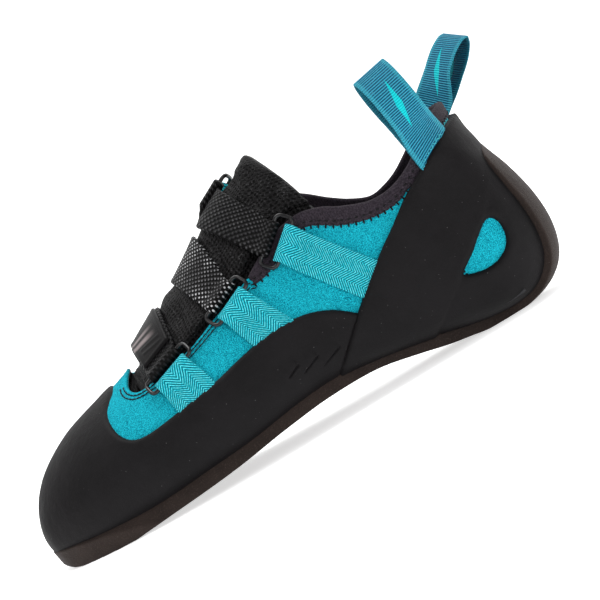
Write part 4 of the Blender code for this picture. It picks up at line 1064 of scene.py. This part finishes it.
# Rings
# Six rounded rectangles of 1.7 mm black plastic wire. A tape from the sole holds each by one bar, and a strap turns
# round the other.
WIRE = 0.85
ROLL = 2.5
BAR_GAP = 3.7
TOWARDS_TAPE = 0.7
RING_CORNER = 2.3
RINGS = {
    "ring_near_toe": (OUTER, 3.3, ((72.2, 48.6), (94.4, 56.6))),
    "ring_near_mid": (OUTER, 3.3, ((107.0, 60.2), (126.6, 69.2))),
    "ring_near_top": (OUTER, 3.4, ((137.2, 68.6), (153.8, 82.6))),
    "ring_far_toe": (INNER, 3.3, ((72.4, 52.0), (94.0, 60.5))),
    "ring_far_mid": (INNER, 3.3, ((102.0, 66.0), (122.0, 76.4))),
    "ring_far_top": (INNER, 3.4, ((126.0, 95.8), (143.6, 105.2))),
}
SHINY_PLASTIC = Paint("ring_plastic", Base_Color=(0.004, 0.0036, 0.0045, 1), Roughness=0.28).material


def unit(vectors):
    return vectors / np.maximum(np.linalg.norm(vectors, axis=-1, keepdims=True), 1e-9)


def tube(path, lean, radius, sides=14):
    """Points round a closed path: a circle in the plane of lean and of the path's outward way."""
    run = unit(np.roll(path, -1, axis=0) - np.roll(path, 1, axis=0))
    outward = unit(np.cross(run, lean))
    turn = np.linspace(0, 2 * math.pi, sides + 1)[None, :, None]
    grid = path[:, None] + radius * (np.cos(turn) * outward[:, None] + np.sin(turn) * lean)
    return np.concatenate([grid, grid[:1]])


class RingPlace:
    """Where a ring lies: its centre off the foot, its length's way, its way across, and its way out."""

    def __init__(self, side, off, ends):
        self.side, self.off = side, off
        (s0, v0), (s1, v1) = FOOT.spots(ends, side)
        first, last = FOOT.at(s0, v0), FOOT.at(s1, v1)
        middle = FOOT.at((s0 + s1) / 2, (v0 + v1) / 2)
        normal = FOOT.at((s0 + s1) / 2, (v0 + v1) / 2, 1.0) - middle
        self.along = unit(last - first)
        self.out = unit(normal - self.along * (normal @ self.along))
        self.across = np.cross(self.out, self.along)
        self.across *= 1 if self.across[2] > 0 else -1
        self.half = np.linalg.norm(last - first) / 2
        self.centre = middle + self.out * off - self.across * TOWARDS_TAPE

    def bar(self, which, short):
        """Both ends of a bar's axis: which is 1 for the strap's bar and -1 for the tape's."""
        middle = self.centre + self.across * BAR_GAP * which
        return np.array([middle - self.along * (self.half - short), middle + self.along * (self.half - short)])

    def under_bar(self, which, short):
        """The (s, v) of the foot's face under both ends of a bar."""
        return FOOT.spots((self.bar(which, short) - self.out * self.off)[:, [0, 2]], self.side)

    def wire(self):
        """A rectangle with round corners, as a closed path."""
        turn = np.linspace(0, 2 * math.pi, 65)[:-1, None] + 1e-6
        along = np.sign(np.cos(turn)) * (self.half - RING_CORNER) + RING_CORNER * np.cos(turn)
        across = np.sign(np.sin(turn)) * (BAR_GAP - RING_CORNER) + RING_CORNER * np.sin(turn)
        return self.centre + self.along * along + self.across * across


ring_places = {name: RingPlace(*values) for name, values in RINGS.items()}
for name, place in ring_places.items():
    grid = tube(place.wire(), place.out, WIRE)
    ring = add_mesh(name + "_wire", to_part(grid.reshape(-1, 3)), sheet_faces(*grid.shape[:2]), [SHINY_PLASTIC])
    worn_on(ring, "ring_plastic", name)

# Tapes
# Six short tapes of turquoise herringbone webbing, 1.4 mm thick. Each comes out from under the rubber, turns round
# its ring's lower bar, and is sewn down on itself.
WEBBING = 1.4
OVER_BINDING = 0.75
TAPE_END_SHORT = 3.0
TAPE_UNDER_RUBBER = 4.0
ROLL_FLATTENS = 8.0
TAPE_FEET = {
    "toe": {OUTER: ((77.2, 38.6), (96.2, 41.6)), INNER: ((78.0, 38.8), (97.0, 41.8))},
    "mid": {OUTER: ((116.6, 46.2), (135.6, 47.6)), INNER: ((115.0, 45.8), (134.0, 47.6))},
    "top": {OUTER: ((165.2, 39.4), (177.6, 50.2)), INNER: ((165.2, 39.4), (179.6, 51.9))},
}


def soft_sided(faces, rounding):
    """Two faces drawn together to a quarter of their distance where rounding is 0."""
    core = (faces[0] + faces[1]) / 2
    return [core + (face - core) * (0.25 + 0.75 * rounding) for face in faces]


def strip(name, edges, low, thick, bars, material, selvedge=0.0, rows=110, columns=30, wave=0.0):
    """A tape or strap between two side edges given as (s, v), turned round the bars at its start and end.

    Along its length each face has a height off the foot. Near a bar the heights are measured from the bar's own
    axis, and the two faces meet in a half circle beyond it. The side edges are rounded to half the thickness.
    """
    middle = FOOT.at(*((edges[0] + edges[1]) / 2).T)
    length = run_length(middle)
    total = length[-1]
    turn = np.linspace(0, math.pi / 2, 10)
    start, end = bars
    front = -ROLL * np.cos(turn) if start else np.array([0.0])
    back = total + ROLL * np.cos(turn[::-1]) if end else np.array([total])
    between = np.linspace(0, total, rows)
    along = np.concatenate([front[:-1], between, back[1:]])
    across = 0.5 - 0.5 * np.cos(np.linspace(0, math.pi, columns))
    station = [read_line(along.clip(0, total), length, edge) for edge in edges]
    place = station[0][:, None] * (1 - across[None, :, None]) + station[1][:, None] * across[None, :, None]
    low = np.interp(along, (0, total), low)
    width = apart(*station)
    to_edge = np.minimum(across, 1 - across)[None] * width
    lip = selvedge * bell(to_edge - 0.9, 0.5)
    soft = wave * np.sin(along / 5.3)[:, None] * np.sin(across * 3.1 + along[:, None] / 17.0)
    faces = []
    for sign, flat in ((1, low + thick), (-1, low)):
        height = np.repeat(flat[:, None], columns, 1) + (lip + soft if sign > 0 else 0)
        points = FOOT.at(place[..., 0], place[..., 1], height)
        for bar, reach in ((start, along), (end, total - along)):
            if bar is None:
                continue
            ring, which, short = bar
            ends = ring.bar(which, short)
            axis = ends[0] * (1 - across[:, None]) + ends[1] * across[:, None]
            held = 1 - ease(reach / ROLL_FLATTENS)[:, None]
            roll = sign * ROLL * round_edge(ROLL + reach, ROLL)[:, None]
            on_bar = roll * held + (height - ring.off) * (1 - held)
            by_bar = axis[None] + ring.across * which * reach[:, None, None] + ring.out * on_bar[..., None]
            points = by_bar * held[..., None] + points * (1 - held[..., None])
        faces.append(points)
    over, under = soft_sided(faces, round_edge(to_edge, thick / 2)[..., None])
    uv = np.stack(np.broadcast_arrays(along[:, None], (across - 0.5) * width), -1)
    return add_shell(name, over, under, [material], uv=uv, sharp=80)


def herringbone():
    """Herringbone twill: slanting threads whose slant turns over in every stripe, with dark gaps between them."""
    paint = Paint("teal_webbing", Roughness=0.75, Specular_IOR_Level=0.12)
    along, across = paint.lengthwise_and_across()
    stripe = (across / 4.6).math("PINGPONG", 1.0) * 4.6
    threads = (along + stripe * 0.9).wave(1.15)
    yarn = paint.noise(1.25, 3.0, 0.75)
    colour = paint.mix(threads.over(-0.8, 0.2), (0.001, 0.13, 0.19), (0.012, 0.62, 0.74))
    colour = paint.mix(threads.over(0.2, 1.0) * yarn.over(0.40, 0.60) * 0.9, colour, (0.20, 0.90, 0.95))
    colour = paint.mix((1 - yarn).over(0.56, 0.70) * 0.7, colour, (0.0, 0.12, 0.17))
    paint.use("Base Color", colour)
    paint.relief(threads * 0.16, yarn * 0.12)
    return paint.material


twill = herringbone()
for place, feet in TAPE_FEET.items():
    for word, side in (("near", OUTER), ("far", INNER)):
        ring = ring_places[f"ring_{word}_{place}"]
        foot_spots = FOOT.spots(feet[side], side)
        bar_spots = ring.under_bar(-1, TAPE_END_SHORT)
        way = foot_spots - bar_spots
        hidden_spots = foot_spots + way * TAPE_UNDER_RUBBER / apart(foot_spots, bar_spots)
        rows = np.linspace(0, 1, 40)[:, None]
        edges = [bar_spots[k] * (1 - rows) + hidden_spots[k] * rows for k in range(2)]
        tape = strip(f"webbing_{word}_{place}_cloth", edges, (OVER_BINDING, CLEAR), WEBBING,
                     ((ring, -1, TAPE_END_SHORT), None), twill, selvedge=0.16)
        worn_on(tape, "teal_webbing", f"webbing_{word}_{place}")

# Straps
# Three straps of black woven tape, with painted highlights: bright glints painted on the tops of the weave's
# crossings, most on the middle strap. Each crosses the tongue from ring to ring, and the toe one carries a rubber
# grip.
STRAP = 1.9
STRAP_END_SHORT = 3.4
STRAP_LOW = 0.8
STRAP_RIDGE = {"toe": (73.0, 91.5), "mid": (101.5, 119.5), "top": (122.5, 138.0)}
# How strongly the painted highlights (glints) show on each strap
STRAP_PAINTED_GLINT = {"toe": 0.03, "mid": 0.75, "top": 0.08}


def woven(name, painted_glint):
    """Tight black weave: rows of raised crossings, and painted highlights: glints painted bright on the tops of
    some crossings, in slow patches.
    """
    paint = Paint(name, Roughness=0.5, Specular_IOR_Level=0.10)
    along, across = paint.lengthwise_and_across()
    tops = along.wave(2.7) * across.wave(2.3)
    yarn = paint.noise(0.9, 2.0, 0.6)
    # Painted highlights: bright glints painted on the crossings' tops, thinned out in slow patches where the shine
    # fades.
    patch = paint.noise(0.07, 1.0).over(0.40, 0.58) * 0.75 + 0.25
    colour = paint.mix(tops.over(-0.2, 0.7), (0.0004, 0.0004, 0.0004), (0.010, 0.0095, 0.011))
    painted_glints = tops.over(0.30, 0.75) * yarn.over(0.34, 0.56) * patch * painted_glint
    paint.use("Base Color", paint.mix(painted_glints, colour, (0.80, 0.80, 0.82)))
    paint.relief(tops * 0.25, yarn * 0.1)
    return paint.material


strap_edges = {}
for place, ridge in STRAP_RIDGE.items():
    near, far = ring_places[f"ring_near_{place}"], ring_places[f"ring_far_{place}"]
    near_spots, far_spots = (ring.under_bar(1, STRAP_END_SHORT) for ring in (near, far))
    middle = FOOT.HALF_GIRTH
    on_ridge = [(np.interp(x, FOOT.points[:, middle, 0], FOOT.s), 0.0) for x in ridge]
    edges = [smooth_line((near_spots[k], on_ridge[k], far_spots[k]), 40) for k in range(2)]
    strap_edges[place] = edges
    strap = strip(f"{place}_strap_cloth", edges, (STRAP_LOW, STRAP_LOW), STRAP,
                  ((near, 1, STRAP_END_SHORT), (far, 1, STRAP_END_SHORT)),
                  woven(f"strap_cloth_{place}", STRAP_PAINTED_GLINT[place]), selvedge=0.12, rows=150, wave=0.12)
    worn_on(strap, "strap_cloth", f"{place}_strap")

# Strap tab
# A thin moulded rubber patch glued over the toe strap, from the near ring to just past the ridge. It has a low rim,
# two plain raised bars for the fingers, and two slanted wipes of silver grey near the ridge.
TAB_SHARE = (0.1, 0.7)
TAB_INSET = 0.06
TAB_THICK = 1.0
TAB_ROWS, TAB_COLUMNS = 110, 70
TAB_ROUND = 0.7
TAB_BARS = (5.0, 8.5)
TAB_BAR_HIGH = 0.16
TAB_RIM_HIGH = 0.12
TAB_WIPES = ((13.0, 2.6), (18.5, 2.0))
BAR_SLANT = 0.35
edge_a, edge_b = (
    read_line(np.linspace(*TAB_SHARE, TAB_ROWS), np.linspace(0, 1, len(edge)), edge) for edge in strap_edges["toe"]
)
inset = (edge_b - edge_a) * TAB_INSET
across = np.linspace(0, 1, TAB_COLUMNS)
place = (edge_a + inset)[:, None] * (1 - across[None, :, None]) + (edge_b - inset)[:, None] * across[None, :, None]
s, v = place[..., 0], place[..., 1]
low = STRAP_LOW + STRAP + CLEAR
flat = FOOT.at(s, v)
length = run_length(flat[:, TAB_COLUMNS // 2])[:, None]
width = np.linalg.norm(flat[:, -1] - flat[:, 0], axis=-1).mean()
to_edge = np.minimum(np.minimum(length, length[-1] - length), np.minimum(across, 1 - across)[None] * width)
from_middle = (across[None] - 0.5) * width
slanted = length + BAR_SLANT * from_middle
bars = TAB_BAR_HIGH * sum(bell(slanted - at, 0.9) for at in TAB_BARS) * ease((to_edge - 2.4) / 1.5)
rim = TAB_RIM_HIGH * bell(to_edge - 1.2, 0.6)
over = FOOT.at(s, v, low + TAB_THICK - TAB_ROUND * (1 - round_edge(to_edge, TAB_ROUND)) + bars + rim)
under = FOOT.at(s, v, low - 0.5 + 0 * s)
patch_paint = Paint("patch_rubber", Roughness=0.45, Specular_IOR_Level=0.09)
along_patch, across_patch = patch_paint.lengthwise_and_across()
slanted_wire = along_patch + across_patch * BAR_SLANT
wiped = sum((1 - ((slanted_wire - at).math("ABSOLUTE")).over(wide * 0.2, wide)) for at, wide in TAB_WIPES)
wiped = wiped * (1 - across_patch.over(-2.0, 6.0))
grain = patch_paint.noise(1.6, 3.0, 0.6)
patch_paint.use("Base Color", patch_paint.mix(wiped * 0.8, (0.006, 0.0055, 0.006), (0.30, 0.25, 0.25)))
patch_paint.relief(grain * 0.08)
uv = np.stack(np.broadcast_arrays(length, from_middle), -1)
tab = add_shell("toe_strap_grip", over, under, [patch_paint.material], uv=uv, sharp=60)
worn_on(tab, "black_rubber", "toe_strap_tab")

# Pull loops
# Two loops of petrol-blue ribbed ribbon at the heel, each folded over and sewn down, to pull the shoe on with.
# Their inner faces are a darker copy of the ribbon, with shade painted in.
LOOP_FOLDS = (
    (-5.0, 1.8, 0.3), (0.0, 2.2, 0.1), (7.0, 3.1, -0.4), (14.0, 6.2, -3.2), (22.0, 8.2, -5.4), (31.0, 8.2, -5.4),
    (37.6, 5.6, -2.8), (40.4, 2.0, 0.6),
)
RIBBON = 1.1
TWISTED_BY = 24.0
ROOT_STRAIGHTENS = 18.0
# Side of the foot, ends of the sewn root as (x, z), its height off the foot, ways up and out, width, length,
# fullness and twist
PULL_LOOPS = {
    "pull_loop_near": (OUTER, ((212.2, 73.6), (228.6, 82.8)), 1.0, (-0.18, -0.10, 1.0), (0.15, -1.0, 0.0),
                       16.4, 1.0, 1.0, 0.0),
    "pull_loop_far": (INNER, ((231.6, 80.8), (221.2, 91.4)), 1.7, (0.74, 0.15, 0.66), (-0.2, 1.0, -0.1),
                      16.0, 0.94, 0.6, -1.0),
}
LEAF_AT, LEAF_LONG, LEAF_WIDE = 29.0, 12.0, 1.7


def ribbon(name, half_way, painted_shade):
    """Ribbed ribbon: ribs across it, lighter edges, one long slim turquoise leaf woven into either half, and
    painted shade: the colour drawn towards dark navy by the last argument's share.
    """
    paint = Paint(name, Roughness=0.6, Specular_IOR_Level=0.15)
    along, across = paint.lengthwise_and_across()
    ribs = along.wave(1.05)
    thread = paint.noise(1.3, 2.0, 0.6)
    colour = paint.mix(ribs.over(-0.6, 0.6), (0.002, 0.075, 0.16), (0.035, 0.36, 0.52))
    colour = paint.mix(across.math("ABSOLUTE").over(6.2, 6.8) * 0.5, colour, (0.05, 0.46, 0.58))
    colour = paint.mix(thread.over(0.55, 0.75) * 0.5, colour, (0.10, 0.42, 0.56))
    from_leaf = (along / half_way).math("PINGPONG", 1.0) * half_way - LEAF_AT
    aside = (across - from_leaf * 0.14).math("ABSOLUTE")
    leaf = 1 - from_leaf.math("ABSOLUTE") / LEAF_LONG - aside / LEAF_WIDE
    colour = paint.mix(leaf.over(0.0, 0.08), colour, (0.004, 0.66, 0.72))
    # Painted shade: the colour is drawn towards dark navy, for the inner faces inside the loops.
    paint.use("Base Color", paint.mix(painted_shade, colour, (0.0, 0.02, 0.05)))
    paint.relief(ribs * 0.22, thread * 0.08)
    return paint.material


folds = np.array(LOOP_FOLDS)
path = np.vstack([smooth_line(folds[:, [0, 1]], 10), smooth_line(folds[:, [0, 2]], 10)[::-1]])
path = np.vstack([path, path[:1]])
path = read_line(np.linspace(0, 1, 260), np.linspace(0, 1, len(path)), path)
run = np.gradient(path, axis=0)
run[[0, -1]] = path[1] - path[-2]
run = unit(run)
inset = path + RIBBON * np.stack([run[:, 1], -run[:, 0]], 1)
path_mm = run_length(path)
half_way = float(path_mm[-1]) / 2
# The second finish, for the loops' inner faces, is the same ribbon with shade painted in.
RIBBONS = [ribbon("pull_tape", half_way, 0.0), ribbon("pull_tape_inside_painted_shade", half_way, 0.45)]
for name, (side, root, sewn_off, up, out, width, length, full, twist) in PULL_LOOPS.items():
    across = width * (0.5 - 0.5 * np.cos(np.linspace(0, math.pi, 26))) - width / 2
    root = np.array(root)
    on_root = FOOT.at(*FOOT.spots(root.mean(0) + (root[1] - root[0]) * (across / width)[:, None], side).T, sewn_off)
    base = on_root.mean(0)
    up = unit(np.array(up))
    out = np.array(out)
    out = unit(out - up * (out @ up))
    side_way = np.cross(up, out)
    off_straight = on_root - base - side_way * across[:, None]
    faces = []
    for line in (path, inset):
        turn = twist * ease(line[:, :1] / TWISTED_BY)
        out_way = out * np.cos(turn) + side_way * np.sin(turn)
        wide_way = side_way * np.cos(turn) - out * np.sin(turn)
        spine = base + line[:, :1] * length * up + line[:, 1:] * full * out_way
        rooted = (1 - ease(line[:, :1] / ROOT_STRAIGHTENS))[None] * off_straight[:, None]
        faces.append(spine[None] + wide_way[None] * across[:, None, None] + rooted)
    over, under = soft_sided(faces, round_edge(width / 2 - np.abs(across), 0.6)[:, None, None])
    uv = np.stack(np.broadcast_arrays(path_mm[None], across[:, None]), -1)
    loop = add_shell(name + "_ribbon", over, under, RIBBONS, wrap=True, uv=uv, sharp=80)
    worn_on(loop, "pull_tape", name)

# Stitching
# Black thread: two rows round the throat, the overlock's teeth and a dotted row along the binding. Turquoise
# thread: a zigzag that closes the rubber's edge over the pull loops' roots.
THREAD = Paint("black_thread", Base_Color=(0.004, 0.0035, 0.005, 1), Roughness=0.6, Specular_IOR_Level=0.2).material
TEAL_THREAD = Paint("teal_thread", Base_Color=(0.05, 0.50, 0.58, 1), Roughness=0.6).material
SPINDLE = np.array(((-1.0, 0.0), (-0.82, 0.75), (-0.3, 1.0), (0.3, 1.0), (0.82, 0.75), (1.0, 0.0)))
THREAD_SIDES = 6
THROAT_END = 131.0
STITCHED_BELOW = 55.6
STITCHED_FROM = 66.0


def along_line(spots, pitch, lift, start=0.5):
    """Places a pitch apart along a line of (s, v), with the line's way, the way across it and the way out."""
    line = FOOT.at(*spots.T)
    length = run_length(line)
    at = np.arange(pitch * start, length[-1], pitch)
    s, v = (np.interp(at, length, column) for column in spots.T)
    ahead_s, ahead_v = (np.interp(at + 0.2, length, column) for column in spots.T)
    places = FOOT.at(s, v, lift)
    way = unit(FOOT.at(ahead_s, ahead_v, lift) - places)
    out = unit(FOOT.at(s, v, lift + 1.0) - places)
    return places, way, unit(np.cross(out, way)), out


def sewn(name, places, way, out, length, radius, material, slot):
    """Stitches as spindles: each a few rings round its way, thin at both ends, which dip into the cloth."""
    across = np.cross(out, way)
    turn = np.linspace(0, 2 * math.pi, THREAD_SIDES + 1)
    reach, thick = SPINDLE.T
    spine = places[:, None] + way[:, None] * (reach * length / 2)[:, None]
    spine = spine - out[:, None] * (np.abs(reach) ** 3 * radius)[:, None]
    ring = np.cos(turn)[:, None] * across[:, None, None] + np.sin(turn)[:, None] * out[:, None, None]
    points = spine[:, :, None] + ring * (thick * radius)[:, None, None]
    one = sheet_faces(len(SPINDLE), THREAD_SIDES + 1)
    faces = (one[None] + np.arange(len(places))[:, None, None] * len(SPINDLE) * (THREAD_SIDES + 1)).reshape(-1, 4)
    made = add_mesh(name, to_part(points.reshape(-1, 3)), faces, [material], sharp=180)
    return worn_on(made, slot)


rows = []
for runs in sides:
    for row in STITCH_ROWS:
        spots = np.array([(np.interp(row, away, run_s), np.interp(row, away, run_v))
                          for run_s, run_v, away in zip(*runs)])
        seen = FOOT.at(*spots.T)
        in_throat = (seen[:, 0] < THROAT_END) & ((seen[:, 2] < STITCHED_BELOW) | (seen[:, 0] > STITCHED_FROM))
        rows.append(along_line(spots[in_throat], 2.5, 0.1))
places, way, _, out = (np.concatenate(k) for k in zip(*rows))
sewn("throat_stitches", places, way, out, 2.7, 0.3, THREAD, "black_mesh")

teeth, dots = [], []
for foot_line, top_line in zip(binding_foot, binding_top):
    free = FOOT.at(*foot_line.T)[:, 0] < UNDER_RUBBER_FROM[1]
    places, way, across, out = along_line(foot_line[free], SCALLOP, 0.35, 0.0)
    teeth.append((places - across * 0.45, across, out))
    middle = foot_line + (top_line - foot_line) * DOTS_UP / apart(foot_line, top_line)
    places, way, across, out = along_line(middle, SCALLOP, 0.55)
    dots.append((places, way, out))
teeth, dots = ([np.concatenate(k) for k in zip(*rows)] for rows in (teeth, dots))
sewn("binding_teeth", *teeth, 2.4, 0.42, THREAD, "black_knit")
sewn("binding_dots", *dots, 1.7, 0.42, THREAD, "black_knit")

zigzag = []
for side, first, last in ((OUTER, 213.0, 233.0), (INNER, 221.0, 234.0)):
    edge = band_front[(band_front[:, 0] > first) & (band_front[:, 0] < last)] + (-0.35, 0.9)
    places, way, across, out = along_line(FOOT.spots(edge, side), 1.25, 3.0)
    flip = np.where(np.arange(len(places)) % 2, 1.0, -1.0)[:, None]
    on_cloth = ease((places[:, :1] - 226.0) / 4.0) if side == OUTER else 0.0
    zigzag.append((places - out * 2.0 * on_cloth, unit(way + 0.9 * flip * across), out))
places, way, out = (np.concatenate(k) for k in zip(*zigzag))
sewn("root_zigzag", places, way, out, 2.0, 0.2, TEAL_THREAD, "teal_webbing")
